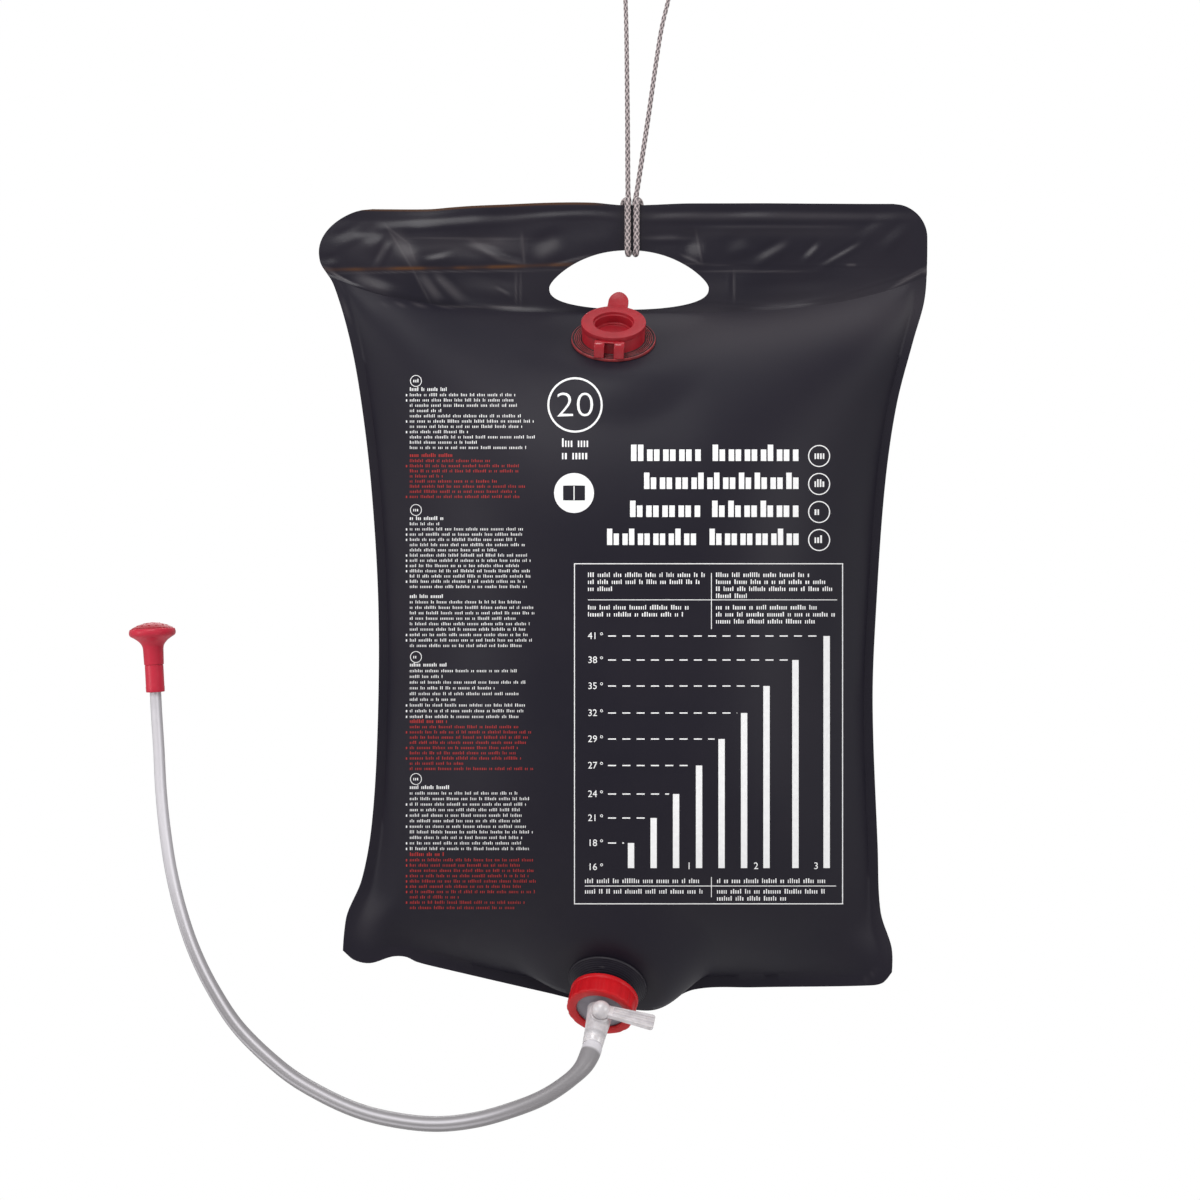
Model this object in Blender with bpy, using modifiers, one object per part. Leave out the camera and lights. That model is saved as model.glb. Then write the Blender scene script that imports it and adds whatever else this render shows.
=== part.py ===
"""Solar shower: a hanging film bag with a filler, an outlet tap, a hose and a rose.

The origin is the inner top of the hanging loop. +Z is up and the printed front
faces -Y. Sizes are in metres.
"""

import math

import bmesh
import bpy
import numpy as np
from mathutils import Matrix, Vector

# Clearances
GAP = 0.0003
RUNNING_GAP = 0.0004

# Broken edge of a turned part
EDGE = 0.0005

# Bag film and outline
BAG_WIDTH = 0.420
BAG_HEIGHT = 0.555
BAG_TOP_DROP = 0.1752
BAG_CENTRE_X = -0.0172
FILM = 0.0005
WELD_MARGIN = 0.008
LEFT_CORNER = 0.0375
RIGHT_CORNER = 0.0235
FRONT_DEPTH = 0.088
BACK_DEPTH = 0.082
BAND_MIDDLE = 0.0755
BAND_SIDE = 0.050

# How far each side is drawn in: share of the height from the top, then the distance
LEFT_WAIST = [(0.00, 0.000), (0.07, 0.001), (0.10, 0.0105), (0.17, 0.022), (0.25, 0.030), (0.36, 0.037),
              (0.50, 0.0415), (0.65, 0.041), (0.77, 0.037), (0.84, 0.030), (0.89, 0.019), (1.00, 0.016)]
RIGHT_WAIST = [(0.00, 0.000), (0.07, 0.000), (0.12, 0.0018), (0.17, 0.0095), (0.25, 0.021), (0.35, 0.029),
               (0.50, 0.035), (0.62, 0.0375), (0.80, 0.034), (0.88, 0.032), (0.93, 0.024), (1.00, 0.027)]
# How far the lower edge rises: share of the width from the left, then the distance
LOWER_EDGE = [(0.00, 0.040), (0.02, 0.0335), (0.05, 0.0312), (0.09, 0.0357), (0.115, 0.0355),
              (0.135, 0.0320), (0.19, 0.0268), (0.37, 0.011), (0.50, 0.000), (0.57, 0.001), (0.64, 0.013),
              (0.75, 0.0145), (0.96, 0.0158), (0.985, 0.0180), (1.00, 0.025)]

# Handle slot through the band
SLOT_X = -0.0128
SLOT_DOWN = 0.0580
SLOT_WIDTH = 0.110
SLOT_RISE = 0.026
SLOT_DROP = 0.0150

# Filler: its place on the bag, its tilt above level, then its own sizes
FILLER_ACROSS = 0.4676
FILLER_DOWN = 0.0230
FILLER_TILT = math.radians(53)
FILLER_FLANGE_RADIUS = 0.0285
FLANGE_THICKNESS = 0.0016
FLANGE_RIDGE = 0.0007
FLANGE_RING_STEP = 0.0025
FILLER_NECK_RADIUS = 0.0205
FILLER_BORE_RADIUS = 0.0150
FILLER_NECK_HEIGHT = 0.0110
FILLER_SPIGOT = 0.003
STOPPER_RADIUS = 0.02175
STOPPER_RIM = 0.0032
STOPPER_PLUG_DEPTH = 0.0070
STOPPER_WALL = 0.0017
STOPPER_STEP = 0.0012
TAB_WIDTH = 0.0138
TAB_LENGTH = 0.0095
TAB_THICKNESS = 0.0022
TAB_LIFT = math.radians(32)
TONGUE_WIDTH = 0.020
TONGUE_THICKNESS = 0.0012
STRAP_WIDTH = 0.0067
TONGUE_INSET = 0.0012
# The tongue's bend: shares of its way outwards and of its way down to the flange
TONGUE_PATH = [(0.00, -0.02), (0.30, 0.00), (0.52, 0.08), (0.70, 0.24), (0.85, 0.52), (1.00, 1.00)]

# Outlet: its place on the bag, how far it pushes the film out, its aim, its own sizes
OUTLET_ACROSS = 0.4813
OUTLET_UP = 0.0150
OUTLET_PUSH = 0.013
OUTLET_DIP = math.radians(40.3)
OUTLET_TURN = math.radians(14.5)
OUTLET_FLANGE_RADIUS = 0.0268
OUTLET_NECK_RADIUS = 0.0178
OUTLET_BORE_RADIUS = 0.0130
OUTLET_NECK_HEIGHT = 0.0190
OUTLET_SPIGOT = 0.003
OUTLET_RIDGE_TOP = 0.0074
OUTLET_RIDGE_STEP = 0.0018
GASKET_THICKNESS = 0.0015
TAP_DISC_THICKNESS = 0.0025
NUT_RADIUS = 0.0230
NUT_HEIGHT = 0.0150
NUT_LIP = 0.0020
NUT_LIP_RADIUS = 0.0165
NUT_RIBS = 18
NUT_RIB_HEIGHT = 0.0007
NUT_BEAD = 0.0026

# Tap
BARREL_RADIUS = 0.0080
BARREL_END_RADIUS = 0.0064
BARREL_LENGTH = 0.0240
BARREL_BORE_RADIUS = 0.0025
KEY_DISTANCE = 0.0092
KEY_PLUG_RADIUS = 0.0042
KEY_BOSS_RADIUS = 0.0065
KEY_BOSS_HEIGHT = 0.0088
BALL_RADIUS = 0.0062
BALL_HEIGHT = 0.0123
LEVER_LENGTH = 0.0360
LEVER_ROOT_WIDTH = 0.0072
LEVER_TIP_WIDTH = 0.0104
LEVER_THICKNESS = 0.0038
NIPPLE_LENGTH = 0.0105

# Hose
HOSE_RADIUS = 0.0050
HOSE_BORE_RADIUS = 0.0035
HOSE_FLARE = 1.30
HOSE_FLARE_LENGTH = 0.020

# Rose
ROSE_FOOT = Vector((-0.3628, 0.1100, -0.5168))
ROSE_LEAN = math.radians(3.0)
SLEEVE_LENGTH = 0.0202
SLEEVE_WALL = 0.0015
SOCKET_DEPTH = 0.0140
SPIGOT_RADIUS = 0.0050
SPIGOT_LENGTH = 0.0092
ROSE_NECK_WALL = 0.0018
ROSE_FLARE_HEIGHT = 0.0360
ROSE_RIM_HEIGHT = 0.0464
ROSE_RIM_RADIUS = 0.0171
ROSE_WALL = 0.0015
WASHER_THICKNESS = 0.0012
PLATE_THICKNESS = 0.0016
PLATE_DOME = 0.0037
NOZZLE_RINGS = [(0.0, 1), (0.0052, 6), (0.0104, 12)]
NOZZLE_RADIUS = 0.0012
NOZZLE_HEIGHT = 0.0009
NOZZLE_BORE = 0.0005

# Hanging cord
CORD_RADIUS = 0.0018
LOOP_RADIUS = 0.0155
KNOT_RADIUS = 0.0048
KNOT_HALF_HEIGHT = 0.0049
HITCH_X = -0.0107


# Small helpers


def smoothstep(low, high, value):
    """0 below low, 1 above high, and a smooth rise between."""
    share = min(max((value - low) / (high - low), 0.0), 1.0)
    return share * share * (3.0 - 2.0 * share)


def along(points, where):
    """Smooth value at where, through the (place, value) pairs given."""
    places = [p[0] for p in points]
    values = [p[1] for p in points]
    last = len(points) - 1
    slopes = []
    for i in range(last + 1):
        low = max(i - 1, 0)
        high = min(i + 1, last)
        slopes.append((values[high] - values[low]) / (places[high] - places[low]))
    where = min(max(where, places[0]), places[last])
    i = min(max(int(np.searchsorted(places, where)) - 1, 0), last - 1)
    span = places[i + 1] - places[i]
    t = (where - places[i]) / span
    rise = 3 * t * t - 2 * t * t * t
    start = t - 2 * t * t + t * t * t
    end = t * t * t - t * t
    return (1 - rise) * values[i] + rise * values[i + 1] + span * (start * slopes[i] + end * slopes[i + 1])


def smooth_route(points, step):
    """Points about step apart on a smooth curve through the route's own points."""
    knots = [np.array(p, float) for p in points]
    ends = [2 * knots[0] - knots[1]] + knots + [2 * knots[-1] - knots[-2]]
    route = [knots[0]]
    for a, b, c, d in zip(ends, ends[1:], ends[2:], ends[3:]):
        pieces = max(1, round(np.linalg.norm(c - b) / step))
        for n in range(1, pieces + 1):
            t = n / pieces
            route.append(0.5 * (2 * b + (c - a) * t + (2 * a - 5 * b + 4 * c - d) * t**2
                                + (3 * b - a - 3 * c + d) * t**3))
    return [Vector(p) for p in route]


def frame_on(origin, axis, side):
    """A frame with Z along axis and X as near to side as it can be."""
    z = axis.normalized()
    x = (side - side.dot(z) * z).normalized()
    y = z.cross(x)
    turn = Matrix((x, y, z)).transposed().to_4x4()
    return Matrix.Translation(origin) @ turn


# Materials and object making


def material(name, colour, roughness, metallic=0.0):
    """A Principled material in one colour."""
    made = bpy.data.materials.new(name)
    made.use_nodes = True
    shader = made.node_tree.nodes["Principled BSDF"]
    shader.inputs["Base Color"].default_value = (*colour, 1.0)
    shader.inputs["Roughness"].default_value = roughness
    shader.inputs["Metallic"].default_value = metallic
    return made


def add_object(name, mesh, collection, finish=None):
    """Links a mesh as an object, with its material when one is given."""
    made = bpy.data.objects.new(name, mesh)
    if finish:
        mesh.materials.append(finish)
    collection.objects.link(made)
    return made


def from_bmesh(name, bm, collection, finish=None):
    """Links a finished bmesh as an object."""
    mesh = bpy.data.meshes.new(name)
    bm.to_mesh(mesh)
    bm.free()
    return add_object(name, mesh, collection, finish)


def turned(name, profile, steps, frame, collection, finish=None):
    """A turned solid: profile holds (radius, height) pairs, down the outside and up the inside."""
    closed = min(radius for radius, _ in profile) > 0
    bm = bmesh.new()
    points = [bm.verts.new((radius, 0.0, height)) for radius, height in profile]
    for first, second in zip(points, points[1:]):
        bm.edges.new((first, second))
    if closed:
        bm.edges.new((points[-1], points[0]))
    made = from_bmesh(name, bm, collection, finish)
    made.matrix_world = frame
    screw = made.modifiers.new("Turn", "SCREW")
    screw.steps = steps
    screw.render_steps = steps
    screw.use_merge_vertices = True
    screw.merge_threshold = 0.00002
    screw.use_smooth_shade = True
    return made


def baked(made):
    """Replaces an object's modifiers, or its curve, with the mesh that they give."""
    bpy.context.view_layer.update()
    shape = made.evaluated_get(bpy.context.evaluated_depsgraph_get())
    mesh = bpy.data.meshes.new_from_object(shape)
    name, place, collection = made.name, made.matrix_world.copy(), made.users_collection[0]
    bpy.data.objects.remove(made)
    bm = bmesh.new()
    bm.from_mesh(mesh)
    bmesh.ops.remove_doubles(bm, verts=bm.verts, dist=0.000001)
    bmesh.ops.recalc_face_normals(bm, faces=bm.faces)
    bm.to_mesh(mesh)
    bm.free()
    mesh.name = name
    solid = bpy.data.objects.new(name, mesh)
    solid.matrix_world = place
    collection.objects.link(solid)
    return solid


def cylinder(name, radius, low, high, frame, collection, sides=32):
    """A plain cylinder between two heights of a frame."""
    bm = bmesh.new()
    bmesh.ops.create_cone(bm, cap_ends=True, segments=sides, radius1=radius, radius2=radius, depth=high - low)
    bmesh.ops.translate(bm, verts=bm.verts, vec=(0, 0, (low + high) / 2))
    made = from_bmesh(name, bm, collection)
    made.matrix_world = frame
    return made


def prism(name, outline, low, high, frame, collection, finish=None):
    """A flat outline in the frame's XY plane, raised from low to high."""
    bm = bmesh.new()
    face = bm.faces.new([bm.verts.new((x, y, low)) for x, y in outline])
    raised = bmesh.ops.extrude_face_region(bm, geom=[face])["geom"]
    lifted = [item for item in raised if isinstance(item, bmesh.types.BMVert)]
    bmesh.ops.translate(bm, verts=lifted, vec=(0, 0, high - low))
    bmesh.ops.recalc_face_normals(bm, faces=bm.faces)
    made = from_bmesh(name, bm, collection, finish)
    made.matrix_world = frame
    return made


def combine(made, other, operation):
    """A Boolean that leaves the other object out of the model."""
    other.hide_render = True
    other.display_type = "WIRE"
    step = made.modifiers.new(operation.title(), "BOOLEAN")
    step.operation = operation
    step.object = other


def tube(name, route, radius, resolution, collection, finish=None, radii=None):
    """A round tube with capped ends along a route."""
    curve = bpy.data.curves.new(name, "CURVE")
    curve.dimensions = "3D"
    curve.bevel_depth = radius
    curve.bevel_resolution = resolution
    curve.use_fill_caps = True
    spline = curve.splines.new("POLY")
    spline.points.add(len(route) - 1)
    for i, place in enumerate(route):
        spline.points[i].co = (*place, 1.0)
        spline.points[i].radius = radii[i] if radii else 1.0
    made = bpy.data.objects.new(name, curve)
    if finish:
        curve.materials.append(finish)
    collection.objects.link(made)
    return made


# The bag's surface


class Bag:
    """Where the film lies: a flat band, a filled chamber below it, and its welds."""

    left = BAG_CENTRE_X - BAG_WIDTH / 2
    right = BAG_CENTRE_X + BAG_WIDTH / 2
    top = -BAG_TOP_DROP
    lowest = -BAG_TOP_DROP - BAG_HEIGHT

    @classmethod
    def side(cls, z, waist, corner):
        """How far a side is drawn in at a height, with its round top corner."""
        down = cls.top - z
        left_over = max(corner - down, 0.0)
        return along(waist, down / BAG_HEIGHT) + corner - math.sqrt(corner**2 - left_over**2)

    @classmethod
    def weld_line(cls, across):
        """Height of the weld between band and chamber."""
        return cls.top - BAND_MIDDLE + (BAND_MIDDLE - BAND_SIDE) * abs(2 * across - 1) ** 3.5

    @classmethod
    def lower_edge(cls, across):
        """Height of the film's lower edge."""
        return cls.lowest + along(LOWER_EDGE, across)

    @classmethod
    def flat_point(cls, across, row):
        """X and Z of a point; row is 0 at the top edge, 1 at the weld line and 2 at the lower edge."""
        def height(share):
            weld = cls.weld_line(share)
            if row <= 1:
                return cls.top + (weld - cls.top) * row
            return weld + (cls.lower_edge(share) - weld) * (row - 1)

        left = cls.left + cls.side(height(0.0), LEFT_WAIST, LEFT_CORNER)
        right = cls.right - cls.side(height(1.0), RIGHT_WAIST, RIGHT_CORNER)
        return left + (right - left) * across, height(across)

    @classmethod
    def bulge(cls, across, row):
        """How full the chamber is at a point, from 0 at its welds to 1."""
        edge = WELD_MARGIN / BAG_WIDTH
        side = (across - edge) / (1 - 2 * edge) * 2 - 1
        x, z = cls.flat_point(across, row)
        chamber = cls.weld_line(across) - cls.lower_edge(across) - WELD_MARGIN
        down = (cls.weld_line(across) - z) / chamber * 2 - 1
        if abs(side) >= 1 or abs(down) >= 1:
            return 0.0
        return (1 - abs(side) ** 3) * (1 - down**4)

    @classmethod
    def front(cls, across, row):
        """A point on the front film's inner face, before the fittings pull it."""
        x, z = cls.flat_point(across, row)
        return Vector((x, -GAP / 2 - FRONT_DEPTH * cls.bulge(across, row), z))

    @classmethod
    def back(cls, across, row):
        """A point on the back film's inner face."""
        x, z = cls.flat_point(across, row)
        return Vector((x, GAP / 2 + BACK_DEPTH * cls.bulge(across, row), z))


def filler_frame():
    """Centre of the filler's seat on the film, Z out of the bag and Y up the slope."""
    chamber = Bag.weld_line(FILLER_ACROSS) - Bag.lower_edge(FILLER_ACROSS)
    centre = Bag.front(FILLER_ACROSS, 1 + FILLER_DOWN / chamber)
    out = Vector((0, -math.cos(FILLER_TILT), math.sin(FILLER_TILT)))
    return frame_on(centre + FILM * out, out, Vector((1, 0, 0)))


def outlet_frame():
    """Centre of the outlet's seat on the film, Z out of the bag and X to the right."""
    chamber = Bag.weld_line(OUTLET_ACROSS) - Bag.lower_edge(OUTLET_ACROSS)
    centre = Bag.front(OUTLET_ACROSS, 2 - (OUTLET_UP + WELD_MARGIN) / chamber)
    level = math.cos(OUTLET_DIP)
    out = Vector((-level * math.sin(OUTLET_TURN), -level * math.cos(OUTLET_TURN), -math.sin(OUTLET_DIP)))
    return frame_on(centre - Vector((0, OUTLET_PUSH, 0)), out, Vector((1, 0, 0)))


def key_frame(outlet):
    """Centre of the tap's key: Z out of the barrel to the front, X along the closed lever."""
    flow = outlet.to_3x3().col[2]
    centre = outlet @ Vector((0, 0, tap_face() + TAP_DISC_THICKNESS + KEY_DISTANCE))
    front = Vector((0, -1, 0)) + Vector((0, 0, 0.2))
    out = (front - front.dot(flow) * flow).normalized()
    return frame_on(centre, out, out.cross(flow))


def rose_frame():
    """Foot of the rose's sleeve, Z towards the spray plate."""
    out = Vector((-math.sin(ROSE_LEAN), 0, math.cos(ROSE_LEAN)))
    return frame_on(ROSE_FOOT, out, Vector((1, 0, 0)))


def tap_face():
    """Height of the tap disc's inner face above the outlet's seat."""
    return OUTLET_NECK_HEIGHT + GASKET_THICKNESS + 2 * GAP


def film_mesh(surface, seats, columns, rows, flip):
    """The film as a grid, drawn flat onto the plane of each fitting."""
    edge = WELD_MARGIN / BAG_WIDTH
    foot = 2 - WELD_MARGIN / (BAG_HEIGHT - BAND_MIDDLE)
    shares = [0.0]
    for i in range(columns + 1):
        t = 2 * i / columns - 1
        shares.append(0.5 + (0.5 - edge) * (0.6 * t + 0.4 * t**3))
    shares.append(1.0)
    levels = [0.0, 0.06, 0.16, 0.36, 0.58, 0.8]
    for i in range(rows + 1):
        even = i / rows
        eased = 0.5 - 0.5 * math.cos(math.pi * even)
        levels.append(1 + (foot - 1) * (0.35 * even + 0.65 * eased))
    levels.append(2.0)
    bm = bmesh.new()
    grid = []
    for level in levels:
        row = []
        for share in shares:
            place = surface(share, level)
            for seat, flange, from_weld in seats:
                place = seated(place, seat, flange, Bag.bulge(share, level), from_weld)
            row.append(bm.verts.new(place))
        grid.append(row)
    for upper, lower in zip(grid, grid[1:]):
        for i in range(len(upper) - 1):
            corners = (upper[i], lower[i], lower[i + 1], upper[i + 1])
            bm.faces.new(corners[::-1] if flip else corners)
    return bm


def seated(place, seat, flange, fullness, from_weld):
    """Moves a film point towards a fitting's plane, all the way under its flange."""
    local = seat.inverted() @ place
    away = math.hypot(local.x, local.y)
    pull = 1 - smoothstep(flange + 0.008, flange + 0.045, away)
    pull *= smoothstep(0.0, from_weld, fullness)
    local.z += (-FILM - local.z) * pull
    return seat @ local


# Bag parts


def slot_outline():
    """The handle slot: an arched upper side, a flatter lower one and round ends."""
    points = []
    for i in range(16):
        t = -math.cos(math.pi * i / 16)
        arch = 0.55 * (1 - abs(t) ** 2.2) + 0.45 * math.sqrt(1 - t * t)
        points.append((SLOT_WIDTH / 2 * t, SLOT_RISE * arch))
    for i in range(16):
        t = math.cos(math.pi * i / 16)
        points.append((SLOT_WIDTH / 2 * t, -SLOT_DROP * (1 - t * t) ** 0.38))
    return points


def slot_frame():
    """Middle of the handle slot, Z to the front."""
    centre = Vector((SLOT_X, 0, -BAG_TOP_DROP - SLOT_DOWN))
    return frame_on(centre, Vector((0, -1, 0)), Vector((1, 0, 0)))


def make_panels(parts, cutters, film):
    """Front and back films, each a thin shell, with the slot and the fittings' holes."""
    filler, outlet = filler_frame(), outlet_frame()
    seats = [(filler, FILLER_FLANGE_RADIUS, 0.08), (outlet, OUTLET_FLANGE_RADIUS, 0.10)]
    slot = prism("cut_slot", slot_outline(), -0.012, 0.012, slot_frame(), cutters)
    holes = [
        cylinder("cut_filler", FILLER_BORE_RADIUS + STOPPER_WALL + GAP, -0.006, 0.004, filler, cutters),
        cylinder("cut_outlet", OUTLET_BORE_RADIUS + STOPPER_WALL + GAP, -0.006, 0.004, outlet, cutters),
    ]
    front = from_bmesh("front_panel", film_mesh(Bag.front, seats, 22, 24, False), parts, film)
    back = from_bmesh("back_panel", film_mesh(Bag.back, [], 14, 16, True), parts, film)
    for panel, cuts in ((front, [slot] + holes), (back, [slot])):
        shell = panel.modifiers.new("Film", "SOLIDIFY")
        shell.thickness = FILM
        shell.offset = 1.0
        for cut in cuts:
            combine(panel, cut, "DIFFERENCE")


# Filler parts


def make_filler(parts, cutters, red):
    """The welded flange with its neck, the push-in stopper and the tongue that ties them."""
    seat = filler_frame()
    base = GAP
    deck = base + FLANGE_THICKNESS
    top = FILLER_NECK_HEIGHT
    spigot = FILLER_BORE_RADIUS + STOPPER_WALL
    neck = [(FILLER_NECK_RADIUS, top), (FILLER_NECK_RADIUS, deck + FLANGE_RIDGE)]
    for i in (2, 1):
        radius = FILLER_FLANGE_RADIUS - FLANGE_RING_STEP * i
        neck += [(radius - EDGE, deck), (radius, deck + FLANGE_RIDGE), (radius + EDGE, deck)]
    neck += [
        (FILLER_FLANGE_RADIUS - EDGE, deck), (FILLER_FLANGE_RADIUS, deck - EDGE),
        (FILLER_FLANGE_RADIUS, base), (spigot, base), (spigot, base - FILLER_SPIGOT),
        (FILLER_BORE_RADIUS, base - FILLER_SPIGOT), (FILLER_BORE_RADIUS, top - EDGE),
        (FILLER_BORE_RADIUS + EDGE, top),
    ]
    turned("filler_neck", neck, 32, seat, parts, red)

    rim_low = top + GAP
    rim_high = rim_low + STOPPER_RIM
    plug = FILLER_BORE_RADIUS - RUNNING_GAP
    foot = top - STOPPER_PLUG_DEPTH
    floor = foot + STOPPER_WALL
    recess = plug - STOPPER_WALL
    # The plug's foot is drawn in so that it clears the bore as the stopper swings out.
    drawn_in = plug - 0.0008
    stopper = [
        (0, floor), (recess - 2 * STOPPER_STEP, floor), (recess - 2 * STOPPER_STEP, floor + STOPPER_STEP),
        (recess - STOPPER_STEP, floor + STOPPER_STEP), (recess - STOPPER_STEP, rim_low + STOPPER_STEP),
        (recess, rim_low + STOPPER_STEP), (recess, rim_high), (STOPPER_RADIUS - 0.0006, rim_high),
        (STOPPER_RADIUS, rim_high - 0.0006), (STOPPER_RADIUS, rim_low), (plug, rim_low),
        (plug, rim_low - 0.4 * STOPPER_PLUG_DEPTH), (drawn_in, foot), (0, foot),
    ]
    lid = baked(turned("stopper", stopper, 32, seat, parts))
    lid.data.materials.append(red)
    combine(lid, pull_tab(seat, (rim_low + rim_high) / 2, cutters), "UNION")

    make_tongue(seat, deck + GAP, (rim_low + rim_high) / 2, parts, cutters, red)
    hinge = seat @ Vector((0, -STOPPER_RADIUS - 0.0012, (rim_low + rim_high) / 2))
    move_origin(lid, hinge)


def pull_tab(seat, level, cutters):
    """The stopper's pull tab, bent up the slope from its rim."""
    half = TAB_THICKNESS / 2
    start = STOPPER_RADIUS - 0.004
    bend = STOPPER_RADIUS + 0.003
    path = [(start, level), (bend, level)]
    shares = (0.33, 0.60, 0.86, 1.0)
    for share in shares:
        rise = math.tan(TAB_LIFT * share) * TAB_LENGTH * share * 0.8
        path.append((bend + TAB_LENGTH * share * math.cos(TAB_LIFT * share), level + rise))
    bm = bmesh.new()
    rows = []
    for (out, up), width in zip(path, (1.0, 1.0, 1.0, 1.0, 0.84, 0.42)):
        wide = TAB_WIDTH / 2 * width
        rows.append([bm.verts.new((side * wide, out, up + lift)) for side, lift in
                     ((-1, -half), (1, -half), (1, half), (-1, half))])
    for first, second in zip(rows, rows[1:]):
        for i in range(4):
            j = (i + 1) % 4
            bm.faces.new((first[i], first[j], second[j], second[i]))
    bm.faces.new(rows[0][::-1])
    bm.faces.new(rows[-1])
    bmesh.ops.recalc_face_normals(bm, faces=bm.faces)
    made = from_bmesh("join_tab", bm, cutters)
    made.matrix_world = seat
    return made


def make_tongue(seat, foot, level, parts, cutters, red):
    """The bent tongue: two straps and a window, from the stopper's rim down to the flange."""
    inner = STOPPER_RADIUS + GAP
    outer = FILLER_FLANGE_RADIUS - TONGUE_INSET
    reach, drop = outer - inner, level - foot
    path = [(inner + reach * out, level - drop * down) for out, down in TONGUE_PATH]
    bm = bmesh.new()
    rows = []
    for out, up in path:
        rows.append([bm.verts.new((x, -out, up)) for x in (-TONGUE_WIDTH / 2, TONGUE_WIDTH / 2)])
    for first, second in zip(rows, rows[1:]):
        bm.faces.new((first[0], first[1], second[1], second[0]))
    made = from_bmesh("stopper_tongue", bm, parts, red)
    made.matrix_world = seat
    strip = made.modifiers.new("Strip", "SOLIDIFY")
    strip.thickness = TONGUE_THICKNESS
    strip.offset = 0.0
    window = TONGUE_WIDTH / 2 - STRAP_WIDTH
    outline = [(-window, foot + TONGUE_THICKNESS), (window, foot + TONGUE_THICKNESS),
               (window, level + TONGUE_THICKNESS), (-window, level + TONGUE_THICKNESS)]
    side_on = seat @ Matrix.Rotation(math.radians(90), 4, "X")
    block = prism("cut_window", outline, inner + TONGUE_THICKNESS, outer + reach, side_on, cutters)
    combine(made, block, "DIFFERENCE")


def move_origin(made, place):
    """Puts an object's origin at a world point and leaves its shape where it is."""
    bpy.context.view_layer.update()
    shift = made.matrix_world.inverted() @ place
    made.data.transform(Matrix.Translation(-shift))
    made.matrix_world = made.matrix_world @ Matrix.Translation(shift)


# Outlet parts


def make_outlet(parts, cutters, black, rubber, red, white):
    """The welded neck, its gasket, the union nut and the tap."""
    seat = outlet_frame()
    base = GAP
    spigot = OUTLET_BORE_RADIUS + STOPPER_WALL
    neck = [(OUTLET_NECK_RADIUS, OUTLET_NECK_HEIGHT), (OUTLET_NECK_RADIUS, OUTLET_RIDGE_TOP)]
    ring_gap = (OUTLET_FLANGE_RADIUS - OUTLET_NECK_RADIUS) / 3
    for i in range(3):
        radius = OUTLET_NECK_RADIUS + ring_gap * (i + 0.5)
        crest = OUTLET_RIDGE_TOP - OUTLET_RIDGE_STEP * i
        neck += [(radius, crest), (radius + EDGE, crest - OUTLET_RIDGE_STEP)]
    neck += [
        (OUTLET_FLANGE_RADIUS, base + 2 * EDGE), (OUTLET_FLANGE_RADIUS, base), (spigot, base),
        (spigot, base - OUTLET_SPIGOT), (OUTLET_BORE_RADIUS, base - OUTLET_SPIGOT),
        (OUTLET_BORE_RADIUS, OUTLET_NECK_HEIGHT),
    ]
    turned("outlet_neck", neck, 32, seat, parts, black)

    low = OUTLET_NECK_HEIGHT + GAP
    high = low + GASKET_THICKNESS
    gasket = [(OUTLET_NECK_RADIUS, high), (OUTLET_NECK_RADIUS, low), (OUTLET_BORE_RADIUS, low),
              (OUTLET_BORE_RADIUS, high)]
    turned("outlet_gasket", gasket, 28, seat, parts, rubber)
    make_nut(seat, parts, red)
    make_tap(seat, parts, cutters, white)


def make_nut(seat, parts, red):
    """The union nut: a bead at its top edge, broad grip ribs and an inturned lip."""
    end = tap_face() + TAP_DISC_THICKNESS + GAP + NUT_LIP
    start = end - NUT_HEIGHT
    bore = OUTLET_NECK_RADIUS + 2 * RUNNING_GAP + 0.0002
    wall = NUT_RADIUS - NUT_RIB_HEIGHT
    profile = [
        (wall - 0.0006, end), (wall, end - 0.0008), (wall, start + NUT_BEAD + 0.0004),
        (NUT_RADIUS - 0.0003, start + NUT_BEAD), (NUT_RADIUS, start + NUT_BEAD - 0.0006),
        (NUT_RADIUS, start + 0.0006), (NUT_RADIUS - 0.0006, start), (bore, start), (bore, end - NUT_LIP),
        (NUT_LIP_RADIUS, end - NUT_LIP), (NUT_LIP_RADIUS, end - 0.0004), (NUT_LIP_RADIUS + 0.0004, end),
    ]
    nut = baked(turned("outlet_nut", profile, NUT_RIBS * 3, seat, parts))
    nut.data.materials.append(red)
    for point in nut.data.vertices:
        radius = math.hypot(point.co.x, point.co.y)
        if radius > wall - 0.0001 and point.co.z > start + NUT_BEAD + 0.0002:
            turn = math.atan2(point.co.y, point.co.x) * NUT_RIBS + math.pi / 6
            grown = 1 + NUT_RIB_HEIGHT / radius * smoothstep(-0.5, 0.5, math.sin(turn))
            point.co.x *= grown
            point.co.y *= grown


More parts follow.
